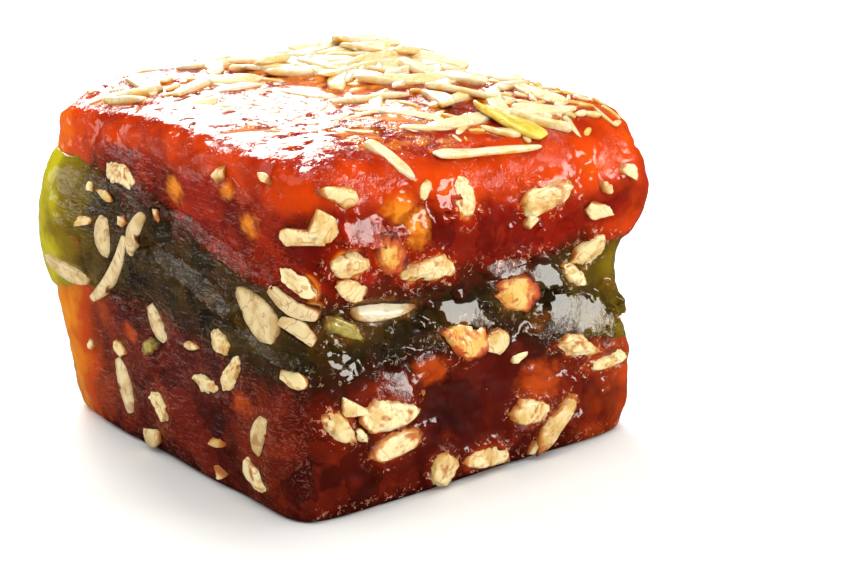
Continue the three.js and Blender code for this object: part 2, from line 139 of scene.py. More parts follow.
world = bpy.data.worlds.new("surround")
world.use_nodes = True
tree = world.node_tree
seen_in_gloss = node(tree, "ShaderNodeLightPath").outputs["Is Glossy Ray"]
strengths = {"Value": seen_in_gloss, "To Min": SURROUND_STRENGTH, "To Max": SURROUND_IN_GLOSS}
strength = node(tree, "ShaderNodeMapRange", strengths).outputs["Result"]
set_inputs(tree, tree.nodes["Background"], {"Color": (1, 1, 1, 1), "Strength": strength})
bpy.context.scene.world = world
bpy.context.scene.view_settings.view_transform = "Standard"

for name, azimuth, elevation, distance, width, height, power in SOFT_BOXES:
    light = bpy.data.lights.new(name, "AREA")
    light.shape = "RECTANGLE"
    light.size = width
    light.size_y = height
    light.energy = power
    light.color = LIGHT_COLOUR
    lamp = shown(name, light)
    way = math.radians(azimuth)
    rise = math.radians(elevation)
    reach = Vector((math.sin(way) * math.cos(rise), math.cos(way) * math.cos(rise), math.sin(rise)))
    lamp.location = LIGHT_AIM + reach * distance
    lamp.rotation_euler = (-reach).to_track_quat("-Z", "Y").to_euler()


# Jelly
# Three layers of set starch-and-sugar jelly, dark red below, green and orange-red above, cut with a knife
# from a slab. The walls swell unevenly, the seams run in waves, and syrup keeps three walls and the top wet.
# Sizes in mm.
LENGTH = 93
WIDTH = 96
HEIGHT = 71.5
DOME = 3
EDGE_ROUND = {"west": 2.6, "east": 7}
BASE_ROUND = 12
BASE_TUCK = 2.8
CORNER_POWER = 11
BOX_SHIFT = Vector((0.8, -0.7, 0))
# Values at the corners: south-west, south-east, north-west and north-east
LOWER_SEAM = (0.41, 0.28, 0.4, 0.36)
UPPER_SEAM = (0.635, 0.625, 0.845, 0.72)
TOP_RISE = (0, 0, 3.3, 0.8)
CORNER_DROP = 4.5
DROP_REACH = 24
SOUTH_SAG = 3
SAG_REACH = 22
WEST_HUMP = 0.07
SOUTH_HUMP = 0.075
SEAM_WAVE = 0.6
SEAM_RAGGED = 1.6


def between(low, high, share):
    return low + (high - low) * share


def smooth_step(low, high, value):
    share = min(max((value - low) / (high - low), 0), 1)
    return share * share * (3 - 2 * share)


def across_plan(corners, u, v):
    south = between(corners[0], corners[1], (1 + u) / 2)
    north = between(corners[2], corners[3], (1 + u) / 2)
    return between(south, north, (1 + v) / 2)


def west_hump(u, v):
    return WEST_HUMP * (1 - u) / 2 * math.sin(math.pi * ((1 + v) / 2) ** 1.5)


def south_hump(u, v):
    return SOUTH_HUMP * (1 - v) / 2 * math.sin(math.pi * (1 + u) / 2)


def ragged_seam(u, v, height):
    return SEAM_RAGGED * noise.noise(Vector((6.5 * u, 6.5 * v, height)))


def lower_seam(u, v):
    share = across_plan(LOWER_SEAM, u, v) + west_hump(u, v) + south_hump(u, v)
    return HEIGHT * share + SEAM_WAVE * math.sin(5 * u + 4 * v) + ragged_seam(u, v, 1.3)


def upper_seam(u, v):
    share = across_plan(UPPER_SEAM, u, v) + west_hump(u, v)
    return HEIGHT * share + SEAM_WAVE * math.sin(4 * u - 6 * v) + ragged_seam(u, v, 4.7)


def edge_round(u):
    return between(EDGE_ROUND["west"], EDGE_ROUND["east"], smooth_step(-0.5, 0.6, u))


def dome_fall(share):
    return share**14 if share < 0 else share**6


# The cut edge of the top sags towards the far corner
def corner_drop(u, v):
    return CORNER_DROP * smooth_step(DROP_REACH, 0, (1 + u) * LENGTH / 2) * smooth_step(-0.1, 0.9, v)


# Its south edge sags between the corners
def south_sag(u, v):
    across = smooth_step(SAG_REACH, 0, (1 + v) * WIDTH / 2)
    return SOUTH_SAG * across * smooth_step(-0.8, -0.2, u) * (1 - smooth_step(0.45, 0.95, u))


def top_skin(u, v):
    ring = max(abs(u), abs(v))
    radius = edge_round(u)
    inward = min((1 - ring) * LENGTH / 2, radius)
    roll = radius - math.sqrt(radius**2 - (radius - inward) ** 2)
    dome = DOME * (1 - dome_fall(u)) * (1 - dome_fall(v)) + across_plan(TOP_RISE, u, v)
    sag = corner_drop(u, v) + south_sag(u, v)
    return HEIGHT + dome - roll - sag + 0.5 * (1 - ring) * math.sin(7 * u + 3 * v)


# Each layer: its foot, its head, and how far it stands out of the plan at its foot, middle and head, at
# each corner
LAYERS = {
    "bottom": (
        lambda u, v: 0,
        lower_seam,
        ((2.4, 1.2, 1.1), (0.7, 1.1, 0.2), (1.1, 1.6, 2.7), (1, 1.2, 0.9)),
    ),
    "middle": (
        lower_seam,
        upper_seam,
        ((1.1, 0.6, 0.9), (0.2, -2.2, -0.7), (2.7, 5.5, 1.4), (0.9, 2, 0.9)),
    ),
    "top": (
        upper_seam,
        top_skin,
        ((0.9, 1.5, 0.8), (-0.7, 2.4, 1), (1.4, 1.3, 1), (0.9, 1.4, 0.8)),
    ),
}


def base_tuck(z):
    if z >= BASE_ROUND:
        return 0
    return BASE_TUCK * (1 - math.sqrt(1 - (1 - z / BASE_ROUND) ** 2))


def layer_point(layer, u, v, share):
    foot, head, swell = layer
    ring = max(abs(u), abs(v))
    powers = abs(u) ** CORNER_POWER + abs(v) ** CORNER_POWER
    grow = ring / powers ** (1 / CORNER_POWER) if ring else 1
    z = between(foot(u, v), head(u, v), share)
    stages = [across_plan([corner[i] for corner in swell], u, v) for i in range(3)]
    belly = (stages[1] - (stages[0] + stages[2]) / 2) * (4 * share * (1 - share)) ** 0.7
    lump = 0.35 * math.sin(6 * u + 3 * v + 0.12 * z) + 0.3 * math.sin(9 * v - 4 * u - 0.19 * z)
    out = between(stages[0], stages[2], share) + belly + lump - base_tuck(z)
    grow *= 1 + out * ring**6 / (LENGTH / 2)
    return Vector((LENGTH / 2 * u * grow, WIDTH / 2 * v * grow, z)) + BOX_SHIFT


WALL_OUTWARD = {"south": (0, -1, 0), "east": (1, 0, 0), "north": (0, 1, 0), "west": (-1, 0, 0)}
# The walls: how long each is, and the plan place of a share of the way across it, left to right
WALLS = {
    "south": (LENGTH, lambda share: (2 * share - 1, -1)),
    "east": (WIDTH, lambda share: (1, 2 * share - 1)),
    "north": (LENGTH, lambda share: (1 - 2 * share, 1)),
    "west": (WIDTH, lambda share: (-1, 1 - 2 * share)),
}


def wall_point(side, across, up):
    span, plan = WALLS[side]
    u, v = plan(min(max(across / span, 0), 1))
    radius = edge_round(u)
    if up > HEIGHT - radius:
        rise = min((up - HEIGHT + radius) / radius, 0.95)
        ring = 1 - radius * (1 - math.sqrt(1 - rise * rise)) / (LENGTH / 2)
        return layer_point(LAYERS["top"], u * ring, v * ring, 1)
    layer = next((entry for entry in LAYERS.values() if up <= entry[1](u, v)), LAYERS["top"])
    foot, head = layer[0](u, v), layer[1](u, v)
    return layer_point(layer, u, v, min(max((up - foot) / (head - foot), 0), 1))


def wall_frame(side, across, up):
    step = 1.5
    right = wall_point(side, across + step, up) - wall_point(side, across - step, up)
    rise = wall_point(side, across, up + step) - wall_point(side, across, up - step)
    out = right.cross(rise).normalized()
    right.normalize()
    turn = Matrix((right, out.cross(right), out)).transposed().to_4x4()
    return Matrix.Translation(wall_point(side, across, up)) @ turn


def square_frame(side, across, up):
    above = Vector((0, 0, 1))
    outward = Vector(WALL_OUTWARD[side])
    turn = Matrix((above.cross(outward), above, outward)).transposed().to_4x4()
    return Matrix.Translation(wall_point(side, across, up)) @ turn


def seeded_draw(seed):
    state = seed
    while True:
        state = (state * 1664525 + 1013904223) % 4294967296
        yield state / 4294967296


# Nuts that lie under the skin, painted onto it as the nut's colour with light glowing through the jelly, and
# swelling it a little: wall, distance across, height, and half sizes
BURIED_NUTS = [
    ("south", 32.3, 26.8, 5, 3.2), ("south", 61.1, 17.9, 6.2, 4.8), ("south", 62, 31, 3.5, 2.6),
    ("south", 36, 66, 3, 2.4), ("south", 24, 63, 4, 3), ("south", 28.3, 58.2, 2.8, 4),
    ("south", 88, 35, 4, 3),
    ("west", 20.9, 42.7, 2.5, 2.2), ("west", 54.8, 62.1, 3.3, 2.9), ("west", 76.7, 21.9, 3.2, 2.9),
    ("west", 73.7, 65.7, 2.4, 1.9), ("west", 81, 60, 3, 2.4), ("west", 35, 26, 3.2, 2.2),
    ("east", 22, 20, 4.5, 3), ("east", 60, 42, 4, 3), ("east", 78, 60, 3.6, 2.4),
    ("north", 18, 44, 4, 2.6), ("north", 52, 22, 4.6, 3.4), ("north", 70, 62, 3.6, 2.6),
]
# Flat places between the lumps, which lean back and shine: distance across the wall, height, half width,
# half height, and how much they climb to the right
SOUTH_FLATS = [
    (75.5, 29.6, 10, 4.4, -0.2), (23.8, 25.7, 3.6, 3.6, -0.2), (41.5, 36.8, 7, 2.8, -0.3),
    (65.2, 40.4, 4.8, 3, -0.4), (51.9, 44.9, 5.6, 2.4, -0.1), (16, 59.4, 5.2, 3.2, -0.2),
    (64.8, 62.4, 6, 1.6, 0.1), (34.7, 61.9, 2.4, 2.2, -0.3),
]
WEST_FLATS = [
    (60, 44.4, 20, 2.6, -0.17), (68, 53.6, 19, 2, -0.17), (40, 59.6, 8, 1.6, -0.3), (84, 36, 9, 1.4, -0.2),
    (50, 30, 10, 0.9, -0.2), (62, 23, 12, 0.8, -0.2), (40, 14, 9, 0.8, -0.2), (28, 33, 8, 0.8, -0.2),
]
# Dents in the top, which climb to the near corner: middle, half length, half width, degrees, and how clear
# the jelly is there, which sets how much glowing light is painted into the dent
TOP_DENTS = [
    (-9.6, 33.8, 5.5, 6, 8, 1), (-25, 23, 6.5, 2.6, 8, 0.5), (-37, -21, 8, 2.6, 11, 0.4),
    (5, 20, 3.6, 2, 8, 0.2), (-16, -24, 6, 2.4, 8, 0.3), (-21, -34, 6, 2.4, 8, 0.4),
    (18, 37, 4, 5, 8, 0.8), (-40, 14, 4, 2, 11, 0.4), (-4, -14, 5, 2, 8, 0.2), (-8, -30, 6, 2.4, 8, 0.4),
]
SMALL_DENTS = 70
DENT_WAY = Vector((-0.62, -0.785, 0))
FLAT_LEAN = {"south": 19, "east": 19, "north": 19, "west": 20}
FLAT_RISE = {"south": 0.7, "east": 0.7, "north": 0.7, "west": 0.2}
BROAD_FLAT = 2.5
WET_WALLS = ("south", "east", "north")
FLAT_BITS = 6
NUT_GLINTS = 9
HIDDEN_FLATS = 7
# Painted light: how strongly light glowing through the thin upright corners is painted into the jelly's
# colour, at the south-west, south-east, north-west and north-east corners, and how much weaker it is on the
# far walls
HIDDEN_GLOW = 0.55
GLOW_AT = (0.02, 0.38, 1, 0.6)
SEAM_BLUR = 3.5
CAP_CUTS = 45
WALL_CUTS = 2
TOP_CUTS = 160
JELLY_ROWS = {"bottom": 46, "middle": 40, "top": 34}
TOP_RELIEF = 0.1
HALO_REACH = 8
JELLY_MASKS = ("glow", "low", "high", "buried", "halo", "cut", "level", "rim")
nut_nodes = [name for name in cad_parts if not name.startswith("halwa")]
nut_middles = {name: (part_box(name)[0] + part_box(name)[1]) / 2 / MM for name in nut_nodes}
nut_sizes = {name: max(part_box(name)[1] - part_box(name)[0]) / 2 / MM for name in nut_nodes}


def point_tree(points):
    tree = kdtree.KDTree(len(points))
    for i, point in enumerate(points):
        tree.insert(point, i)
    tree.balance()
    return tree


def across_wall(side, point):
    plan = point - BOX_SHIFT
    reach = {"south": plan.x, "east": plan.y, "north": -plan.x, "west": -plan.y}[side]
    return WALLS[side][0] / 2 + reach


def hidden_flats(side, draw):
    flats = []
    for i in range(HIDDEN_FLATS):
        across = between(0.1, 0.9, (0.31 + i * 0.618) % 1) * WALLS[side][0]
        up = between(10, HEIGHT - 12, next(draw))
        half = between(3, 7, next(draw))
        flats.append((across, up, half, half * between(0.35, 0.7, next(draw)), 0.5 * next(draw) - 0.25))
    return flats


def flat_bits(flats, draw):
    bits = []
    for across, up, half_width, half_height, slope in flats:
        for _ in range(FLAT_BITS):
            way = math.tau * next(draw)
            off = between(1.15, 1.8, next(draw))
            half = between(0.8, 1.7, next(draw))
            x = across + off * half_width * math.cos(way)
            y = up + off * half_height * math.sin(way)
            bits.append((x, min(y, HEIGHT - 8), half, 0.7 * half, slope))
    return bits


# The syrup round each nut shines in a few small spots
def nut_glints(side, draw):
    glints = []
    for name in nut_nodes:
        if name.split("_")[1] != side:
            continue
        across = across_wall(side, nut_middles[name])
        for _ in range(NUT_GLINTS):
            way = math.tau * next(draw)
            off = nut_sizes[name] * between(0.8, 1.5, next(draw))
            half = between(0.5, 1.4, next(draw))
            x, y = across + off * math.cos(way), nut_middles[name].z + 0.8 * off * math.sin(way)
            if 4 < x < WALLS[side][0] - 4 and 3 < y < HEIGHT - 8:
                glints.append((x, y, half, between(0.5, 1, next(draw)) * half, next(draw) - 0.5))
    return glints


def small_dents(draw):
    dents = []
    for i in range(SMALL_DENTS):
        x = between(-44, 14, ((i + 1) * 0.618) % 1)
        y = between(-46, 40, next(draw))
        half = between(0.9, 3.6, next(draw) ** 2)
        dents.append((x, y, half, between(1, 2, next(draw)), 9, 0))
    return dents


dents = TOP_DENTS + small_dents(seeded_draw(83))
dent_tree = point_tree([Vector((dent[0], dent[1], 0)) for dent in dents])


# How deep the dents are at a place on the top, and how clear the jelly is there, which sets how much glow is
# painted
def dent_at(p):
    spot = Vector((p.x, p.y, 0))
    push, clear = 0, 0
    for _, i, _ in dent_tree.find_range(spot, 9):
        x, y, half_length, half_width, lean, own_clear = dents[i]
        off = spot - Vector((x, y, 0))
        climb = off.dot(DENT_WAY)
        along = off.cross(DENT_WAY).z
        reach = math.hypot(along / half_length, climb / half_width) + 0.35 * noise.noise(p / 2.2)
        share = 1 - smooth_step(0.8, 1.05, reach)
        push += (math.tan(math.radians(lean)) * climb - 0.1) * share
        clear = max(clear, own_clear * share)
    return push, clear


flat_draw = seeded_draw(71)
wall_flats = {"south": SOUTH_FLATS, "west": WEST_FLATS}
wall_flats["east"] = hidden_flats("east", flat_draw)
wall_flats["north"] = hidden_flats("north", flat_draw)
flats = [(side, flat) for side in wall_flats for flat in wall_flats[side]]
for side in WET_WALLS:
    flats += [(side, bit) for bit in flat_bits(wall_flats[side], flat_draw)]
for side in WET_WALLS:
    flats += [(side, glint) for glint in nut_glints(side, flat_draw)]
flat_places = [square_frame(side, flat[0], flat[1]).inverted() for side, flat in flats]
flat_points = [wall_point(side, flat[0], flat[1]) for side, flat in flats]
broad_flats = [i for i, (_, flat) in enumerate(flats) if flat[2] > BROAD_FLAT]
small_flats = [i for i, (_, flat) in enumerate(flats) if flat[2] <= BROAD_FLAT]
broad_tree = point_tree([flat_points[i] for i in broad_flats])
small_tree = point_tree([flat_points[i] for i in small_flats])
buried_places = [wall_frame(side, across, up).inverted() for side, across, up, _, _ in BURIED_NUTS]
buried_tree = point_tree([wall_point(*nut[:3]) for nut in BURIED_NUTS])

bm = bmesh.new()
for name in nut_nodes:
    bm.from_mesh(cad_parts[name].data)
bmesh.ops.scale(bm, vec=(1 / MM, 1 / MM, 1 / MM), verts=bm.verts)
nut_skins = bvhtree.BVHTree.FromBMesh(bm)
bm.free()


def spread_ring(value):
    return math.copysign(1 - (1 - abs(value)) ** 1.4, value)


def lumps(p):
    return noise.turbulence(p, 2, True) - 0.42


def wall_relief(p, cut):
    pillows = 1.3 * lumps(p / 10)
    creases = 0.45 * lumps(p / 4.5 + Vector((5, 1, 8)))
    fine = noise.noise(p / 1.9 + Vector((2, 9, 4))) * 0.12
    wet = pillows + creases + fine
    drawn = Vector((p.x, (p.y + 0.2 * p.z) * 0.4, p.z - 0.2 * p.y))
    folds = 0.4 * lumps(drawn / 5)
    ripple = 0.14 * noise.noise(drawn / 1.4)
    broad = 0.35 * noise.noise(p / 12)
    return between(wet, broad + folds + ripple, cut)


# Where the flats put a place on a wall, and how near it is to the rim of a broad one, where a dark line of
# shade is painted
def flat_push(p, push):
    rim = 0
    near = [small_flats[i] for _, i, _ in small_tree.find_range(p, 3.5)]
    near += [broad_flats[i] for _, i, _ in broad_tree.find_range(p, 21)]
    for i in near:
        side, (_, _, half_width, half_height, slope) = flats[i]
        spot = flat_places[i] @ p
        if spot.z < -6:
            continue
        rough = 0.3 * noise.noise(p / 2.6) + 0.22 * noise.noise(p / 1.1 + Vector((4, 4, 4)))
        above = spot.y - slope * spot.x
        reach = ((abs(spot.x) / half_width) ** 3 + (abs(above) / half_height) ** 3) ** (1 / 3) + rough
        if reach < 1.1:
            lean = -math.tan(math.radians(FLAT_LEAN[side])) * spot.y
            most = 3 if half_width > BROAD_FLAT else 1.8
            lifted = min(max(FLAT_RISE[side] + lean - spot.z, -most), most)
            push = between(lifted, push, smooth_step(0.9, 1.06, reach))
        if half_width > BROAD_FLAT:
            rim = max(rim, math.exp(-(((reach - 1.07) / 0.09) ** 2)))
    return push, rim


def buried_share(p):
    share = 0
    for _, i, _ in buried_tree.find_range(p, 9):
        half_width, half_height = BURIED_NUTS[i][3:]
        spot = buried_places[i] @ p
        reach = Vector((spot.x / half_width, spot.y / half_height)).length
        ragged = 0.35 * noise.noise(p / 2.5) + 0.3 * noise.noise(p / 0.9)
        share = max(share, 1 - smooth_step(0.4, 1.3, reach + ragged))
    return share


def rise_of(edge):
    return abs(edge.verts[0].co.z - edge.verts[1].co.z)


def level_in_wall(edge):
    both = edge.verts[0].co + edge.verts[1].co
    return rise_of(edge) < 1e-4 and max(abs(both.x), abs(both.y)) > 1.9999


# A block of 2 by 2 by 2 with faces for the layer's relief: fine on the top of the top layer, and on the
# walls of the others
def fine_block(name):
    bm = bmesh.new()
    bmesh.ops.create_cube(bm, size=2)
    level = [edge for edge in bm.edges if rise_of(edge) < 0.1]
    cuts = TOP_CUTS if name == "top" else CAP_CUTS
    bmesh.ops.subdivide_edges(bm, edges=level, cuts=cuts, use_grid_fill=True)
    upright = [edge for edge in bm.edges if rise_of(edge) > 0.1]
    bmesh.ops.subdivide_edges(bm, edges=upright, cuts=JELLY_ROWS[name], use_grid_fill=True)
    if name != "top":
        walls = [edge for edge in bm.edges if level_in_wall(edge)]
        bmesh.ops.subdivide_edges(bm, edges=walls, cuts=WALL_CUTS, use_grid_fill=True)
    return bm


def jelly_mesh(name):
    layer = LAYERS[name]
    bm = fine_block(name)
    marks = {key: bm.verts.layers.float.new(key) for key in JELLY_MASKS}
    plans = {}
    for vert in bm.verts:
        u, v, share = spread_ring(vert.co.x), spread_ring(vert.co.y), (1 + vert.co.z) / 2
        ring = max(abs(u), abs(v))
        corner = min(abs(u), abs(v)) / ring if ring else 0
        foot, head = layer[0](u, v), layer[1](u, v)
        z = between(foot, head, share)
        plans[vert] = (u, v, ring)
        # Painted light: light shining through the thin corners and the rounded top rim is painted into the
        # colour as glow
        hidden = smooth_step(-0.05, 0.25, max(u, v) - max(-u, -v))
        glow = across_plan(GLOW_AT, u, v) * smooth_step(between(0.25, 0.5, hidden), 0.97, corner) * ring**8
        glow *= between(1, HIDDEN_GLOW, hidden)
        if name == "top":
            glow = max(glow, between(0.35, 0.55, (1 + u) / 2) * smooth_step(0.55, 1, share) * ring**6)
        vert[marks["glow"]] = glow
        rim = head if name == "top" else HEIGHT
        vert[marks["cut"]] = smooth_step(0.93, 0.995, -u) * (1 - smooth_step(rim - 6, rim, z))
        vert[marks["low"]] = math.exp(-(z - foot) / SEAM_BLUR)
        vert[marks["high"]] = math.exp(-(head - z) / SEAM_BLUR)
        vert.co = layer_point(layer, u, v, share)
        vert[marks["buried"]] = buried_share(vert.co)
        if name == "top":
            # On the heap and in clear dents the top is painted with the same nut glow, as light glowing
            # between the slivers and through clear jelly
            near_top = smooth_step(0.6, 1, share)
            heap = smooth_step(-12, 2, vert.co.x) * smooth_step(-12, 2, vert.co.y) * near_top
            heap *= 0.8 + noise.noise(vert.co / 4)
            clear = dent_at(vert.co)[1] * near_top
            vert[marks["buried"]] = max(vert[marks["buried"]], heap, clear)
    bm.normal_update()
    for vert in bm.verts:
        u, v, ring = plans[vert]
        on_top = name == "top" and vert.co.z > HEIGHT - 14 and vert.normal.z > -0.1
        if ring < 0.8 and not on_top:
            continue
        out = Vector((
            math.copysign(abs(u) ** (CORNER_POWER - 1), u) / LENGTH,
            math.copysign(abs(v) ** (CORNER_POWER - 1), v) / WIDTH,
            0,
        )).normalized()
        over = smooth_step(HEIGHT - 14, HEIGHT - 8, vert.co.z) if on_top else 0
        out = out.lerp(vert.normal, over).normalized() if over < 1 else vert.normal.copy()
        cut = vert[marks["cut"]]
        level = smooth_step(0.8, 0.97, vert.normal.z) if on_top else 0
        vert[marks["level"]] = level
        p = vert.co.copy()
        push = wall_relief(p, cut) * between(1, TOP_RELIEF, level)
        if level:
            push += dent_at(p)[0] * level
        # halo: closeness to a nut's skin, from which light glowing round the nut and a dark contact shade at
        # its edge are painted
        halo = 0
        _, _, _, away = nut_skins.find_nearest(p, HALO_REACH)
        if away is not None:
            push *= 1 - 0.85 * math.exp(-((away / 1.8) ** 2))
            push += 0.3 * math.exp(-(((away - 1.1) / 0.6) ** 2)) * (1 - 0.75 * cut)
            halo = math.exp(-max(away - 0.4, 0) / 1.5)
        push += 0.5 * vert[marks["buried"]] * (1 - 0.8 * cut) * (1 - level)
        push, rim = flat_push(p, push)
        # rim: a dark line of shade painted round each broad shining flat
        vert[marks["rim"]] = 0.5 * rim * (1 - cut)
        vert[marks["halo"]] = halo
        if not on_top:
            push *= smooth_step(0.8, 1, ring)
        push *= smooth_step(0, 1.5, vert.co.z)
        vert.co += out * push
        vert.co.z = max(vert.co.z, 0)
    return bm


# A smooth piece from a mesh in millimetres
def new_piece(name, bm, *paints):
    for face in bm.faces:
        face.smooth = True
    bmesh.ops.scale(bm, vec=(MM, MM, MM), verts=bm.verts)
    bmesh.ops.recalc_face_normals(bm, faces=bm.faces)
    mesh = bpy.data.meshes.new(name)
    bm.to_mesh(mesh)
    bm.free()
    for paint in paints:
        mesh.materials.append(paint)
    return shown(name, mesh)


def linear(red, green, blue):
    def channel(value):
        value /= 255
        return value / 12.92 if value <= 0.04045 else ((value + 0.055) / 1.055) ** 2.4

    return (channel(red), channel(green), channel(blue), 1)


def mask(tree, attribute):
    return node(tree, "ShaderNodeAttribute", attribute_name=attribute).outputs["Fac"]


def spread(tree, value, low, high, out_low=0, out_high=1):
    return node(
        tree,
        "ShaderNodeMapRange",
        {"Value": value, "From Min": low, "From Max": high, "To Min": out_low, "To Max": out_high},
        interpolation_type="SMOOTHSTEP",
    ).outputs["Result"]


def maths(tree, operation, first, second=0):
    return node(tree, "ShaderNodeMath", {0: first, 1: second}, operation=operation).outputs[0]


def times(tree, result, *factors):
    for factor in factors:
        result = maths(tree, "MULTIPLY", result, factor)
    return result


def noise_mask(tree, scale, detail=3, turn=(0, 0, 0), stretch=(1, 1, 1), distortion=0):
    place = node(tree, "ShaderNodeTexCoord").outputs["Object"]
    place = node(tree, "ShaderNodeMapping", {"Vector": place, "Rotation": turn, "Scale": stretch}).outputs[0]
    return node(
        tree,
        "ShaderNodeTexNoise",
        {"Vector": place, "Scale": scale, "Detail": detail, "Distortion": distortion},
    ).outputs["Fac"]


def blotches(tree, scale, detail, low, high, out_low=0, out_high=1, distortion=0):
    return spread(tree, noise_mask(tree, scale, detail, distortion=distortion), low, high, out_low, out_high)


def new_group(name, colours, values, colours_out, values_out):
    tree = bpy.data.node_groups.new(name, "ShaderNodeTree")
    for way, labels, kind in (
        ("INPUT", colours, "NodeSocketColor"),
        ("INPUT", values, "NodeSocketFloat"),
        ("OUTPUT", colours_out, "NodeSocketColor"),
        ("OUTPUT", values_out, "NodeSocketFloat"),
    ):
        for label in labels:
            tree.interface.new_socket(label, in_out=way, socket_type=kind)
    return tree, tree.nodes.new("NodeGroupInput").outputs, tree.nodes.new("NodeGroupOutput")


# Each colour in the bottom, middle and top layer
JELLY_COLOURS = {
    "Deep": ((50, 6, 3), (20, 13, 4), (90, 6, 2)),
    "Body": ((86, 15, 5), (46, 34, 10), (134, 16, 3)),
    "Bright": ((146, 40, 12), (98, 66, 16), (182, 44, 8)),
    # The next two paint light glowing through the thin corners, from the edge of the glow to its brightest
    "Edge glow": ((184, 66, 12), (126, 104, 10), (212, 66, 8)),
    "Rim glow": ((226, 140, 22), (196, 184, 20), (240, 112, 14)),
    "Under": ((50, 5, 2), (52, 18, 6), (76, 24, 8)),
    "Over": ((52, 18, 6), (76, 24, 8), (146, 24, 5)),
    # painted glow of light round the nuts and through the jelly over buried ones
    "Nut glow": ((176, 66, 12), (124, 66, 12), (238, 140, 34)),
    # painted sheen: fine pinkish glints on the cut wall
    "Painted sheen": ((156, 88, 66), (96, 84, 64), (190, 78, 48)),
    # painted glints near the nuts and seams
    "Painted glint": ((222, 160, 130), (176, 160, 130), (240, 170, 134)),
}
jelly_colour, takes, gives = new_group("jelly_colour", JELLY_COLOURS, JELLY_MASKS, ("Colour",), ())
tree = jelly_colour
glow, low, high, buried, halo, cut, level, rim = (takes[key] for key in JELLY_MASKS)
place = node(tree, "ShaderNodeTexCoord").outputs["Object"]
warp = node(tree, "ShaderNodeTexNoise", {"Vector": place, "Scale": 170, "Detail": 2}).outputs["Color"]
moved = {0: warp, 1: (0.009, 0.009, 0.009), 2: place}
place = node(tree, "ShaderNodeVectorMath", moved, operation="MULTIPLY_ADD").outputs[0]
patches = node(tree, "ShaderNodeTexVoronoi", {"Vector": place, "Scale": 130}).outputs["Color"]
marbling = blotches(tree, 110, 3, 0.5, 0.72, 0, 0.45, distortion=0.8)
uneven = blotches(tree, 200, 3, 0.3, 0.6, 0.35, 1)
# Painted glow of light round the nuts, weaker on the cut wall
nut_halo_glow = times(tree, halo, uneven, spread(tree, cut, 0, 1, 1, 0.45))
ragged = blotches(tree, 190, 4, 0.3, 0.7, -0.3, 0.3, distortion=0.8)
# Painted contact shade: a thin dark line in the jelly where it meets the nuts, wider on the cut wall
painted_contact_shade = times(tree, spread(tree, halo, 0.78, 0.96, 0, 0.8), cut)
painted_contact_shade = maths(tree, "MAXIMUM", painted_contact_shade, spread(tree, halo, 0.88, 0.98, 0, 0.6))
broken = blotches(tree, 330, 4, 0.34, 0.62, 0.45, 1.1, distortion=0.6)
# Painted glow where light shines through the thin corners, wavering a little
wavering = blotches(tree, 120, 3, 0.3, 0.7, -0.14, 0.14)
through = maths(tree, "ADD", glow, times(tree, wavering, spread(tree, glow, 0, 0.25)))
# Painted sheen: fine pinkish glints on the cut wall, fewer at the glowing corners
painted_sheen = noise_mask(tree, 1700, 3, turn=(0.2, 0, 0), stretch=(1, 0.4, 1), distortion=1)
patchy = blotches(tree, 75, 2, 0.42, 0.6, 0.1, 1)
painted_sheen = times(tree, spread(tree, painted_sheen, 0.5, 0.62, 0, 0.4), patchy, spread(tree, glow, 0.1, 0.5, 1, 0), cut)
# Painted glints: short pale dashes near the nuts and the foot of each layer, few on the cut wall and none on
# the top
ridges = maths(tree, "SUBTRACT", noise_mask(tree, 520, 2, distortion=1.5), 0.5)
painted_glints = spread(tree, maths(tree, "ABSOLUTE", ridges), 0.03, 0.05, 0.9, 0)
painted_glints = times(tree, painted_glints, blotches(tree, 700, 2, 0.55, 0.6))
near_nut = spread(tree, maths(tree, "MAXIMUM", halo, times(tree, low, 0.5)), 0.08, 0.4)
painted_glints = times(tree, painted_glints, near_nut, spread(tree, halo, 0.8, 0.95, 1, 0))
painted_glints = times(tree, painted_glints, spread(tree, cut, 0, 1, 0.8, 0.15), spread(tree, level, 0, 1, 1, 0))
dry = blotches(tree, 620, 3, 0.58, 0.62, 0, 0.5, distortion=0.8)
colour = takes["Deep"]
for share, paint in (
    (blotches(tree, 48, 3, 0.38, 0.64, distortion=0.4), "Body"),
    (spread(tree, patches, 0.45, 0.65, 0, 0.22), "Bright"),
    (spread(tree, patches, 0.45, 0.34, 0, 0.22), "Deep"),
    # random marbling, and painted glow round the nuts
    (maths(tree, "MAXIMUM", marbling, nut_halo_glow), "Bright"),
    (spread(tree, maths(tree, "ADD", low, ragged), 0.25, 0.8, 0, 0.9), "Under"),
    (spread(tree, maths(tree, "ADD", high, ragged), 0.25, 0.8, 0, 0.9), "Over"),
    # painted glow round the nuts
    (spread(tree, nut_halo_glow, 0.45, 0.95, 0, 0.8), "Nut glow"),
    # painted contact shade where the jelly meets the nuts
    (painted_contact_shade, "Deep"),
    # painted nut colour with light glowing through the jelly over buried nuts, on the heap and in clear
    # dents
    (times(tree, buried, broken), "Nut glow"),
    # painted shade along the rims of the shining flats
    (rim, "Deep"),
    # painted glow of light through the thin corners, edge and brightest part
    (spread(tree, through, 0.02, 0.55), "Edge glow"),
    (spread(tree, through, 0.5, 0.95), "Rim glow"),
    # painted sheen on the cut wall
    (painted_sheen, "Painted sheen"),
    # painted glints
    (painted_glints, "Painted glint"),
    (times(tree, dry, level), "Deep"),
):
    colour = mixed(tree, share, colour, takes[paint])
set_inputs(tree, gives, {"Colour": colour})

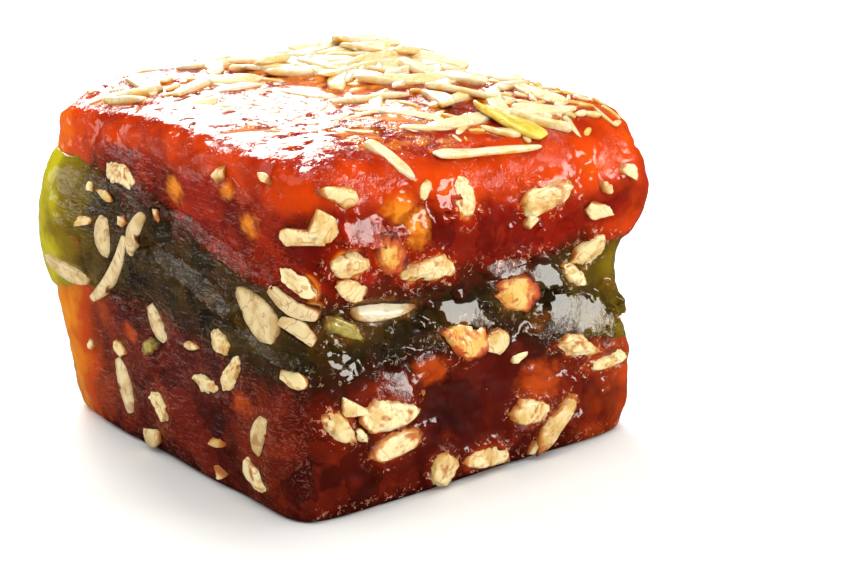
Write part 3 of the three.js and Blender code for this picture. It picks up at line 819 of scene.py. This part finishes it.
SKIN_MASKS = ("glow", "low", "high", "halo", "cut", "level", "buried")
wet_skin, takes, gives = new_group("wet_skin", (), SKIN_MASKS, (), ("Height", "Roughness", "Coat"))
tree = wet_skin
glow, low, high, halo, cut, level, buried = (takes[key] for key in SKIN_MASKS)
seams = times(tree, maths(tree, "MAXIMUM", low, high), 0.6)
busy = times(tree, maths(tree, "MAXIMUM", halo, seams), blotches(tree, 110, 2, 0.42, 0.6))
busy = times(tree, busy, spread(tree, cut, 0, 1, 0.7, 0))
streaks = noise_mask(tree, 900, 2, turn=(0.2, 0, 0), stretch=(1, 0.3, 1), distortion=0.8)
drawn = times(tree, cut, spread(tree, glow, 0.2, 0.7, 1, 0.1))
height = times(tree, noise_mask(tree, 240, 2), spread(tree, level, 0, 1, 0.5, 0.25))
for part in (
    times(tree, noise_mask(tree, 1000, 3, distortion=1), busy, 1.6),
    times(tree, streaks, drawn, 0.7),
    times(tree, blotches(tree, 620, 2, 0.6, 0.7, 0, -0.4), drawn),
    times(tree, blotches(tree, 900, 3, 0.58, 0.64, 0, -0.5, distortion=0.5), level),
):
    height = maths(tree, "ADD", height, part)
dull = blotches(tree, 90, 3, 0.4, 0.65, 0, 0.08)
dull = maths(tree, "ADD", dull, spread(tree, cut, 0, 1, 0.05, 0.13))
dry = blotches(tree, 620, 3, 0.58, 0.62, distortion=0.8)
dry = times(tree, maths(tree, "MAXIMUM", dry, spread(tree, buried, 0.15, 0.5)), level)
coat = times(tree, spread(tree, glow, 0.2, 0.8, 0.14, 0.05), spread(tree, dry, 0, 1, 1, 0))
set_inputs(tree, gives, {"Height": height, "Roughness": maths(tree, "ADD", dull, dry), "Coat": coat})


def jelly_material(name, i):
    material, tree, shader = new_material(name)
    masks = {key: mask(tree, key) for key in JELLY_MASKS}
    colours = {key: linear(*JELLY_COLOURS[key][i]) for key in JELLY_COLOURS}
    painted = node(tree, "ShaderNodeGroup", {**colours, **masks}, node_tree=jelly_colour).outputs
    skin_masks = {key: masks[key] for key in SKIN_MASKS}
    skin = node(tree, "ShaderNodeGroup", skin_masks, node_tree=wet_skin).outputs
    bump = node(tree, "ShaderNodeBump", {"Strength": 1, "Distance": 0.0006, "Height": skin["Height"]})
    looks = {
        "Base Color": painted["Colour"],
        "Normal": bump.outputs[0],
        "Roughness": skin["Roughness"],
        "Coat Weight": skin["Coat"],
        "Coat Roughness": 0.04,
        "Coat IOR": 1.4,
        "IOR": 1.4,
        "Specular IOR Level": 0.6,
        "Subsurface Weight": 0.3,
        "Subsurface Radius": (1, 0.35, 0.12),
        "Subsurface Scale": 0.005,
    }
    set_inputs(tree, shader, looks)
    return material


JELLY_PAINTS = {"bottom": "jelly_red", "middle": "jelly_green", "top": "jelly_orange"}

for i, name in enumerate(LAYERS):
    jelly = new_piece(f"jelly_{name}", jelly_mesh(name), jelly_material(JELLY_PAINTS[name], i))
    jelly.data.set_sharp_from_angle(angle=math.radians(60))
    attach(jelly, "root")
    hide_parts(f"halwa_{name}_layer")


# Nuts in the walls
# Broken cashews and cut almonds, caught as the jelly set and sliced flush by the knife, so each shows a
# pale face. Syrup fills the low places and lies over some of them, and the same syrup colours paint shade
# into the low places, cracks and the edges where the nuts meet the jelly.
# Nuts that lie under a film of jelly and take its colour
FILMED_NUTS = {
    "cashew_south_02": "cashew_in_orange",
    "cashew_south_10": "cashew_in_orange",
    "cashew_south_11": "cashew_in_orange",
    "cashew_south_09": "cashew_in_green",
    "cashew_west_11": "cashew_in_green",
}
NUT_GROWTH = {"south": 1.45, "east": 1.3, "north": 1.3, "west": 1.16}
FLAKE_GROWTH = 1.15
CREASE = 0.4
NUT_ROUGHNESS = {"cashew": 0.62, "almond": 0.25, "sliver": 0.2, "flake": 0.2}
BREAKS = 8
SYRUP_LINE = 0.1
SYRUP_SOAK = {"cashew": 0.4, "almond": 0.4, "sliver": 0.3, "flake": 0.1}
PROUD = {"west": 0.7, "others": 1.3}
OUTLINE_BINS = 24
FILM_START = {"south": 0.66, "east": 0.66, "north": 0.66, "west": 1.1, "filmed": 0.42}

NUT_COLOURS = ("Pale", "Dark", "Freckle", "Amber", "Glaze")
nut_flesh, takes, gives = new_group("nut_flesh", NUT_COLOURS, ("tone", "syrup"), ("Colour",), ("Height",))
tree = nut_flesh
ridges = maths(tree, "SUBTRACT", noise_mask(tree, 150, 2, distortion=1), 0.5)
ragged = blotches(tree, 260, 3, 0.3, 0.7, -0.18, 0.18)
ragged = times(tree, ragged, spread(tree, takes["syrup"], 0, 0.15))
pooled_syrup_and_shade = maths(tree, "ADD", takes["syrup"], ragged)
uneven = blotches(tree, 240, 4, 0.44, 0.66, 0, 0.8)
colour = takes["Pale"]
for share, paint in (
    (maths(tree, "ADD", uneven, takes["tone"]), "Dark"),
    (blotches(tree, 640, 3, 0.58, 0.74, 0, 0.5), "Freckle"),
    # thin dark lines painted as the shade in cracks
    (spread(tree, maths(tree, "ABSOLUTE", ridges), 0.004, 0.016, 0.55, 0), "Amber"),
    (spread(tree, pooled_syrup_and_shade, 0.08, 0.5), "Amber"),
    (spread(tree, pooled_syrup_and_shade, 0.5, 1), "Glaze"),
):
    colour = mixed(tree, share, colour, takes[paint])
set_inputs(tree, gives, {"Colour": colour, "Height": noise_mask(tree, 800, 5, distortion=0.5)})


def nut_material(name, paints, gloss):
    material, tree, shader = new_material(name)
    masks = {"tone": mask(tree, "tone"), "syrup": mask(tree, "syrup")}
    colours = {key: linear(*paint) for key, paint in zip(NUT_COLOURS, paints)}
    flesh = node(tree, "ShaderNodeGroup", {**colours, **masks}, node_tree=nut_flesh).outputs
    bump = node(tree, "ShaderNodeBump", {"Strength": 0.6, "Distance": 0.0004, "Height": flesh["Height"]})
    looks = {
        "Base Color": flesh["Colour"],
        "Normal": bump.outputs[0],
        "Coat Weight": spread(tree, masks["syrup"], 0, 0.5, gloss, 1),
        "Roughness": 0.45,
        "Coat Roughness": 0.08,
        "Subsurface Weight": 0.3,
        "Subsurface Radius": (1, 0.7, 0.4),
        "Subsurface Scale": 0.0015,
    }
    set_inputs(tree, shader, looks)
    return material


# Pale flesh, darker flesh, freckles, thin syrup, deep syrup, and how glossy the bare nut is; the two syrup
# colours also paint shade
NUT_FINISHES = {
    "cashew": ((252, 236, 182), (222, 182, 104), (182, 122, 56), (198, 116, 34), (108, 28, 10), 0.7),
    "almond": ((238, 218, 168), (204, 172, 112), (170, 124, 72), (156, 88, 32), (80, 26, 10), 0.4),
    "almond_flake": ((236, 228, 198), (214, 196, 150), (186, 156, 104), (190, 142, 76), (140, 80, 34), 0.7),
    "cashew_in_orange": ((244, 206, 116), (236, 170, 54), (216, 130, 30), (204, 82, 10), (104, 14, 4), 1),
    "cashew_in_green": ((186, 170, 82), (152, 134, 42), (126, 98, 30), (140, 100, 20), (56, 36, 8), 1),
}
nut_materials = {}
for name, (*paints, gloss) in NUT_FINISHES.items():
    nut_materials[name] = nut_material(name, paints, gloss)
NUT_SLOTS = {"cashew": "cashew", "sliver": "almond", "almond": "almond", "flake": "almond_flake"}


def break_nut(bm, size, draw):
    for _ in range(BREAKS):
        way = Vector((next(draw) - 0.5, next(draw) - 0.5, next(draw) - 0.5)).normalized()
        where = max(vert.co.dot(way) for vert in bm.verts) - size * between(0.06, 0.28, next(draw))
        bmesh.ops.bisect_plane(
            bm,
            geom=bm.verts[:] + bm.edges[:] + bm.faces[:],
            plane_co=way * where,
            plane_no=way,
            clear_outer=True,
        )
        bmesh.ops.holes_fill(bm, edges=bm.edges, sides=0)


def worn(bm):
    bmesh.ops.smooth_vert(bm, verts=bm.verts, factor=0.5, use_axis_x=True, use_axis_y=True, use_axis_z=True)


def roughen_nut(bm, seed, amount):
    syrup = bm.verts.layers.float["syrup"]
    bm.normal_update()
    for vert in bm.verts:
        p = vert.co + Vector((seed, 2 * seed, 3 * seed))
        chips = lumps(p / 2.4) + 0.3 * noise.noise(p / 0.8)
        crease = smooth_step(0.1, 0, abs(noise.noise(p / 5)))
        vert.co += vert.normal * amount * (chips - CREASE * crease)
        # Low places and creases take syrup colour, which also paints shade into them
        vert[syrup] = min(2 * amount, 1) * (0.9 * max(-chips - 0.1, 0) + 0.25 * crease)


def outline_reach(spots):
    reach = [0.1] * OUTLINE_BINS
    for spot in spots:
        i = int((math.atan2(spot.y, spot.x) / math.tau + 0.5) * OUTLINE_BINS) % OUTLINE_BINS
        reach[i] = max(reach[i], spot.to_2d().length)
    return reach


def edge_share(spot, reach):
    turn = (math.atan2(spot.y, spot.x) / math.tau + 0.5) * OUTLINE_BINS - 0.5
    i = math.floor(turn)
    edge = between(reach[i % OUTLINE_BINS], reach[(i + 1) % OUTLINE_BINS], turn - i)
    return spot.to_2d().length / edge


nut_draw = seeded_draw(97)
for i, name in enumerate(nut_nodes):
    kind, side, _ = name.split("_")
    middle = nut_middles[name]
    outward = Vector(WALL_OUTWARD[side])
    bm = bmesh.new()
    bm.from_mesh(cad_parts[name].data)
    bmesh.ops.scale(bm, vec=(1 / MM, 1 / MM, 1 / MM), verts=bm.verts)
    bmesh.ops.remove_doubles(bm, verts=bm.verts, dist=0.002)
    skin = wall_frame(side, across_wall(side, middle), middle.z).inverted()
    growth = FLAKE_GROWTH if kind == "flake" else NUT_GROWTH[side]
    grow = Matrix.Translation(middle) @ Matrix.Scale(growth, 4) @ Matrix.Translation(-middle)
    bmesh.ops.transform(bm, matrix=grow, verts=bm.verts)
    if kind == "cashew":
        break_nut(bm, nut_sizes[name], nut_draw)
    bmesh.ops.triangulate(bm, faces=bm.faces)
    bmesh.ops.subdivide_edges(bm, edges=bm.edges, cuts=4 if kind == "cashew" else 2, use_grid_fill=True)
    worn(bm)
    syrup = bm.verts.layers.float.new("syrup")
    tone = bm.verts.layers.float.new("tone")
    roughen_nut(bm, i * 3.7, NUT_ROUGHNESS[kind])
    most = PROUD["west"] if side == "west" else PROUD["others"]
    own_tone = 0.3 * next(nut_draw)
    film = FILM_START["filmed" if name in FILMED_NUTS else side]
    start = min(film + 0.3 * (next(nut_draw) - 0.5), 1.1)
    reach = outline_reach([skin @ vert.co for vert in bm.verts])
    for vert in bm.verts:
        spot = skin @ vert.co
        if spot.z > most:
            vert.co -= outward * (spot.z - most) * 0.7
        # The part below the wall's skin soaks in syrup, and towards its outline the nut takes a jelly colour
        # that also paints shade where it meets the jelly
        soaked = max(SYRUP_LINE - spot.z, 0) * SYRUP_SOAK[kind]
        vert[syrup] = min(vert[syrup] + (soaked + smooth_step(start, 1.15, edge_share(spot, reach))), 1)
        vert[tone] = own_tone
    piece = new_piece(f"{name}_piece", bm, nut_materials[FILMED_NUTS.get(name, NUT_SLOTS[kind])])
    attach(piece, "root")
    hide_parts(name)


# Small bits of nut in the walls
# Crumbs of the same nuts, under 7 mm long, that show at the skin of each layer.
# Distance across the wall, height, length, width and turn in degrees
BIT_GROWTH = {"south": 1.25, "east": 1.2, "north": 1.2, "west": 1}
SOUTH_BITS = [
    (6.1, 62.6, 5.6, 5, -70), (1.6, 59.8, 6.5, 3.4, -8), (9.7, 67.5, 6.2, 3.6, -20),
    (12.9, 47.7, 6.5, 3, -28), (30.5, 65.2, 3.2, 2, 57), (57.3, 53.2, 3.6, 2.6, 75), (75, 53.2, 6, 3, -20),
    (75.8, 58.2, 3, 1.6, -30), (82.9, 60.5, 4.5, 2.4, -40), (48.4, 29.2, 5.5, 4, 12),
    (12.2, 24, 5.6, 3, -30), (28.6, 23.6, 4, 3, -76), (14.3, 17.2, 3, 1.8, -57), (55.1, 24.9, 3.4, 2, 12),
    (61, 3.6, 5, 2.6, 20),
]
WEST_BITS = [
    (30.6, 56, 6.5, 2.2, -8), (23.8, 48.4, 6, 2.2, 20), (48.2, 55.1, 3.2, 1.8, -40),
    (37.8, 51.8, 3, 2.2, -17), (24.6, 56.4, 2.8, 2.4, -37), (71, 68.2, 5, 2.6, 45),
    (29.8, 20.8, 5.4, 3, -10), (59.1, 29.7, 6.4, 1.8, 11), (67, 10.5, 6.2, 2, 13),
    (66.9, 3.6, 5.2, 2.6, 18), (17.3, 18.3, 4, 3, -44), (93.3, 31.8, 6.4, 3.4, -30),
    (41.3, 4, 6.6, 4.4, 37), (86.3, 70, 4, 2.2, -18),
]
HIDDEN_BITS = 11


def hidden_bits(side, draw):
    bits = []
    for i in range(HIDDEN_BITS):
        across = between(0.08, 0.92, (0.19 + i * 0.618) % 1) * WALLS[side][0]
        up = between(5, HEIGHT - 8, (i + next(draw)) / HIDDEN_BITS)
        length = between(4, 6.5, next(draw))
        width = between(2.5, 4, next(draw))
        bits.append((across, up, length, width, 180 * next(draw)))
    return bits


# A chopped piece, one across, with flat broken faces
def add_chunk(bm, shape, draw):
    chunk = bmesh.new()
    bmesh.ops.create_icosphere(chunk, subdivisions=2, radius=0.62)
    break_nut(chunk, 1.1, draw)
    bmesh.ops.triangulate(chunk, faces=chunk.faces)
    bmesh.ops.subdivide_edges(chunk, edges=chunk.edges, cuts=2, use_grid_fill=True)
    worn(chunk)
    bmesh.ops.transform(chunk, matrix=shape, verts=chunk.verts)
    bmesh.ops.recalc_face_normals(chunk, faces=chunk.faces)
    mesh = bpy.data.meshes.new("chunk")
    chunk.to_mesh(mesh)
    chunk.free()
    before = len(bm.verts)
    bm.from_mesh(mesh)
    bpy.data.meshes.remove(mesh)
    bm.verts.ensure_lookup_table()
    return bm.verts[before:]


def layer_at(point):
    plan = point - BOX_SHIFT
    u = min(max(2 * plan.x / LENGTH, -1), 1)
    v = min(max(2 * plan.y / WIDTH, -1), 1)
    if point.z < lower_seam(u, v):
        return "bottom"
    return "middle" if point.z < upper_seam(u, v) else "top"


bit_draw = seeded_draw(23)
wall_bits = {"south": SOUTH_BITS, "west": WEST_BITS}
wall_bits["east"] = hidden_bits("east", bit_draw)
wall_bits["north"] = hidden_bits("north", bit_draw)
bit_meshes = {name: bmesh.new() for name in LAYERS}
bit_marks = {
    name: {key: bit_meshes[name].verts.layers.float.new(key) for key in ("syrup", "tone")} for name in LAYERS
}
for side, bits in wall_bits.items():
    for i, (across, up, length, width, turn) in enumerate(bits):
        place = wall_frame(side, across, up)
        layer = layer_at(place.translation)
        grow = BIT_GROWTH[side]
        size = Matrix.Diagonal((length * grow, width * grow, width * grow, 1))
        shape = place @ Matrix.Rotation(math.radians(turn), 4, "Z") @ size
        made = add_chunk(bit_meshes[layer], shape, bit_draw)
        outward = place.col[2].to_3d()
        own_tone = 0.4 * next(bit_draw)
        for vert in made:
            p = vert.co + Vector((i, side == "west", i))
            way = (vert.co - place.translation).normalized()
            vert.co += way * 0.5 * (noise.turbulence(p / 1.8, 2, True) - 0.4)
            rise = (vert.co - place.translation).dot(outward)
            vert.co -= outward * max(rise - 1, 0) * 0.7
            # Their low sides, where they sink into the jelly, take syrup colour, which also paints shade
            # there
            vert[bit_marks[layer]["syrup"]] = 0.08 + 0.6 * smooth_step(0.7, 0, rise)
            vert[bit_marks[layer]["tone"]] = own_tone
for layer, bm in bit_meshes.items():
    piece = new_piece(f"nut_bits_{layer}", bm, nut_materials["cashew"])
    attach(piece, "root")
    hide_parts(f"halwa_{layer}_layer")


# Almond slivers on the top
# Blanched almonds cut lengthwise, scattered and heaped over the far half, stuck down with syrup.
# The place of the middle, turn in degrees, length, width, bend and how far it is held up by others
SHOWN_SLIVERS = [
    (25.2, -9.1, -77, 14, 2.8, 0.3, 1.4), (24.1, 4.2, -88, 12, 2.6, 0.5, 1.8), (27, 27, -60, 13, 4, 1, 2.8),
    (22.6, 18.2, 18, 18.5, 3.4, 1.5, 2.2), (12.5, -4.7, -28, 19.4, 2.8, 1.5, 1.2),
    (-9.8, 1.6, -68, 15.3, 3.2, 1, 0.7), (-1.5, -11.2, -18, 16.2, 3, -1, 0.7),
    (-6.3, -20.9, -47, 11, 3, 0.6, 0.5), (16.4, -21.5, -69, 17.8, 3.6, 1, 0.9),
    (14.2, -38.8, -68, 16, 4.8, 1.1, 0.7), (21, -40.9, -43, 13, 2.4, 1, 0.2),
    (2.7, -45.6, -2, 25, 3.2, -0.8, 0.1), (-21.4, -44.6, -59, 11.3, 2.4, 0, 0.1),
    (8.6, -22.4, 72, 14, 2.8, 1, 1.5), (9.6, -42.1, -32, 8.3, 2, 1.2, 0.1),
    (-36.7, -24.5, -27, 10, 2.4, 0.5, 0), (6.3, 16.5, -78, 13.7, 3.2, 0.8, 1.3),
    (-16.6, 17.9, -18, 12.9, 2.8, 1, 0.7), (-11.7, 36, -5, 14.1, 2.8, 1, 0.6),
    (-36.9, 24.2, -22, 10, 2.6, 1, 0.3), (2.9, 27.8, 29, 19.3, 3, 1.5, 1.4),
    (8, 9.6, 20, 21, 3.2, -1.5, 1.5), (-4.5, -35.2, -18, 12, 2.6, 0.6, 0.3),
    (35.3, -8.5, -79, 16, 2.6, 0.6, 0.7), (-36.8, 6.8, -40, 13.8, 2.6, 1, 0.3),
    (-40.5, 24.7, -77, 12, 2.4, 0.5, 0), (31.2, -29.3, -88, 13.6, 2.6, 0.8, 0.3),
    (-21.3, -22.8, -4, 12, 2.6, 0.6, 0.2),
]
YELLOW_SLIVERS = (9,)
SPREAD_SLIVERS = 30
SLIVER_REACH = 0.8
SLIVER_THICKNESS = 1.9
SLIVER_CUTS = (6, 3)
SLIVER_GROWTH = 1.5
LIFT_SHARE = 0.45
# The middle of the heap and how far it reaches each way
HEAP = (36, 35, 14, 14)
SLIVER_STRETCH = 1.1
SLIVER_TWIST = 14
SLIVER_RISE = 0.2
SLIVER_ROUNDING = 2
HEAPED_SLIVERS = 34
SUNK = 1.1
# Where crumbs lie: the middle, how far they reach each way, and how many
CRUMB_PATCHES = [(0, 0, 43, 45, 120), (-14, -27, 20, 17, 60), (32, -33, 11, 13, 40)]
CRUMB_THICKNESS = 1.3
CRUMB_CUTS = (2, 0)
CRUMB_ROUNDING = 1
SYRUP_REACH = 5
SYRUP_CLIMB = 0.22


def even_spread(number, base):
    result = 0
    share = 1 / base
    while number:
        result += number % base * share
        number //= base
        share /= base
    return result


def top_height(x, y):
    a = 2 * x / LENGTH
    b = 2 * y / WIDTH
    most = max(abs(a), abs(b), 1e-6)
    ring = (abs(a) ** CORNER_POWER + abs(b) ** CORNER_POWER) ** (1 / CORNER_POWER)
    reach = min(ring, 0.995) / most
    return top_skin(a * reach, b * reach)


def spread_slivers(draw):
    slivers = []
    for i in range(SPREAD_SLIVERS):
        x = (even_spread(i + 1, 2) - 0.5) * LENGTH * SLIVER_REACH
        y = (even_spread(i + 1, 3) - 0.5) * WIDTH * SLIVER_REACH
        turn = 180 * next(draw)
        length = between(11, 19, next(draw))
        width = between(2.2, 3.2, next(draw))
        slivers.append((x, y, turn, length, width, between(-1.5, 1.5, next(draw)), 0))
    return slivers


def sliver_place(sliver):
    x, y, turn, length, _, _, lift = sliver
    way = math.radians(turn)
    reach = Vector((math.cos(way), math.sin(way))) * 0.35 * length
    ahead = top_height(x + reach.x, y + reach.y)
    behind = top_height(x - reach.x, y - reach.y)
    sunk = SUNK * smooth_step(8, -10, x) * smooth_step(22, 2, y)
    level = max(top_height(x, y), (ahead + behind) / 2) + SLIVER_RISE + LIFT_SHARE * lift - sunk
    return (
        Matrix.Translation(Vector((x, y, level)) + BOX_SHIFT)
        @ Matrix.Rotation(way, 4, "Z")
        @ Matrix.Rotation(-math.atan2(ahead - behind, 0.7 * length), 4, "Y")
    )


def heaped_slivers(draw):
    slivers = []
    for i in range(HEAPED_SLIVERS):
        x = between(-2, 38, even_spread(i + 3, 2))
        y = between(4, 41, even_spread(i + 3, 3))
        off = math.hypot((x - HEAP[0]) / HEAP[2], (y - HEAP[1]) / HEAP[3])
        lift = between(0.8, 5, next(draw)) * between(0.15, 1, math.exp(-off * off))
        length = between(11, 20, next(draw))
        turn = between(-95, 60, next(draw))
        slivers.append((x, y, turn, length, between(2.4, 3.6, next(draw)), 4 * next(draw) - 2, lift))
    return slivers


def crumbs(draw):
    pieces = []
    for middle_x, middle_y, half_x, half_y, count in CRUMB_PATCHES:
        for i in range(count):
            x = middle_x + half_x * (2 * even_spread(i + 1, 5) - 1)
            y = middle_y + half_y * (2 * even_spread(i + 1, 3) - 1)
            length = between(2.5, 7, next(draw) ** 1.5)
            width = between(0.8, 2, next(draw))
            pieces.append((x, y, 180 * next(draw), length, width, next(draw) - 0.5, 0.1))
    return pieces


def add_sliver(bm, sliver, cuts, thickness, tone, syrup, draw, seed):
    _, _, _, length, width, bend, lift = sliver
    length *= SLIVER_STRETCH
    start = len(bm.verts)
    bmesh.ops.create_cube(bm, size=1)
    for axis, number in ((0, cuts[0]), (1, cuts[1])):
        edges = {
            edge
            for vert in bm.verts[start:]
            for edge in vert.link_edges
            if abs(edge.verts[0].co[axis] - edge.verts[1].co[axis]) > 0.5
        }
        if number:
            bmesh.ops.subdivide_edges(bm, edges=list(edges), cuts=number)
            bm.verts.ensure_lookup_table()
    ends = (between(0.75, 1, next(draw)), between(0.75, 1, next(draw)))
    roll = Matrix.Rotation(math.radians(between(-12, 12, next(draw)) * (1 + lift)), 4, "X")
    roll = roll @ Matrix.Rotation(math.radians(between(-5, 5, next(draw)) * lift), 4, "Y")
    thickness *= between(0.75, 1.2, next(draw))
    place = sliver_place(sliver) @ roll
    for vert in bm.verts[start:]:
        along = 2 * vert.co.x
        full = max(1 - (abs(along) * ends[along > 0]) ** 3.6, 0) ** 0.6
        twist = Matrix.Rotation(math.radians(SLIVER_TWIST) * bend * along, 2)
        flat = vert.co.y * width * SLIVER_GROWTH * full
        deep = vert.co.z * thickness * (0.3 + 0.7 * full)
        across = twist @ Vector((flat, deep))
        spot = Vector((vert.co.x * length, across.x + bend * (along * along - 0.4), across.y))
        p = spot + Vector((seed, seed * 2, 0))
        spot.y += 0.5 * noise.noise(p / 3.2)
        spot.z += 0.4 * noise.noise(p / 3 + Vector((5, 5, 5)))
        vert.co = place @ spot
        vert[bm.verts.layers.float["tone"]] = tone
        # The underside of each sliver is painted towards the syrup colours as its shade
        vert[bm.verts.layers.float["syrup"]] = syrup + 0.45 * smooth_step(0.3, -1.1, spot.z)


def new_sliver_mesh():
    bm = bmesh.new()
    bm.verts.layers.float.new("tone")
    bm.verts.layers.float.new("syrup")
    return bm


def finish_slivers(bm, name, levels):
    piece = new_piece(name, bm, sliver_paint, yellow_paint)
    rounding = piece.modifiers.new("rounding", "SUBSURF")
    rounding.levels = levels
    rounding.render_levels = levels
    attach(piece, "root")
    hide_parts("halwa_top_layer")


SLIVER_PAINT = ((238, 226, 190), (234, 208, 146), (222, 184, 106), (230, 176, 64), (204, 106, 26))
YELLOW_PAINT = ((244, 224, 100), (214, 190, 48), (196, 160, 44), (204, 150, 36), (196, 120, 30))
sliver_paint = nut_material("almond_sliver", SLIVER_PAINT, 1)
yellow_paint = nut_material("almond_sliver_yellow", YELLOW_PAINT, 1)
bm = new_sliver_mesh()
sliver_draw = seeded_draw(51)
lying = SHOWN_SLIVERS + spread_slivers(seeded_draw(37)) + heaped_slivers(seeded_draw(43))
for i, sliver in enumerate(lying):
    faces_before = len(bm.faces)
    tone = 0.5 * next(sliver_draw)
    add_sliver(bm, sliver, SLIVER_CUTS, SLIVER_THICKNESS, tone, 0, sliver_draw, i * 4.3)
    if i in YELLOW_SLIVERS:
        bm.faces.ensure_lookup_table()
        for face in bm.faces[faces_before:]:
            face.material_index = 1
sliver_skins = [bvhtree.BVHTree.FromBMesh(bm)]
finish_slivers(bm, "almond_slivers", SLIVER_ROUNDING)
bm = new_sliver_mesh()
for i, crumb in enumerate(crumbs(seeded_draw(59))):
    tone = 0.6 * next(sliver_draw)
    syrup = 0.5 * next(sliver_draw)
    add_sliver(bm, crumb, CRUMB_CUTS, CRUMB_THICKNESS, tone, syrup, sliver_draw, i * 2.7)
sliver_skins.append(bvhtree.BVHTree.FromBMesh(bm))
finish_slivers(bm, "almond_crumbs", CRUMB_ROUNDING)

# Syrup climbs a little up each sliver and crumb, and dips beyond it
top_mesh = bpy.data.objects["jelly_top"].data
for vert in top_mesh.vertices:
    level = top_mesh.attributes["level"].data[vert.index].value
    if level < 0.1:
        continue
    p = vert.co / MM
    found = [skin.find_nearest(p, SYRUP_REACH)[3] for skin in sliver_skins]
    away = min([SYRUP_REACH] + [reach for reach in found if reach is not None])
    climb = SYRUP_CLIMB * (math.exp(-((away / 0.8) ** 2)) - 0.6 * math.exp(-(((away - 1.7) / 0.7) ** 2)))
    vert.co.z += climb * level * MM
    # The top round the slivers and crumbs gets the same halo, which paints glow round them and a dark
    # contact shade at their edges
    halo = top_mesh.attributes["halo"].data[vert.index]
    halo.value = max(halo.value, level * math.exp(-away / 1.1))
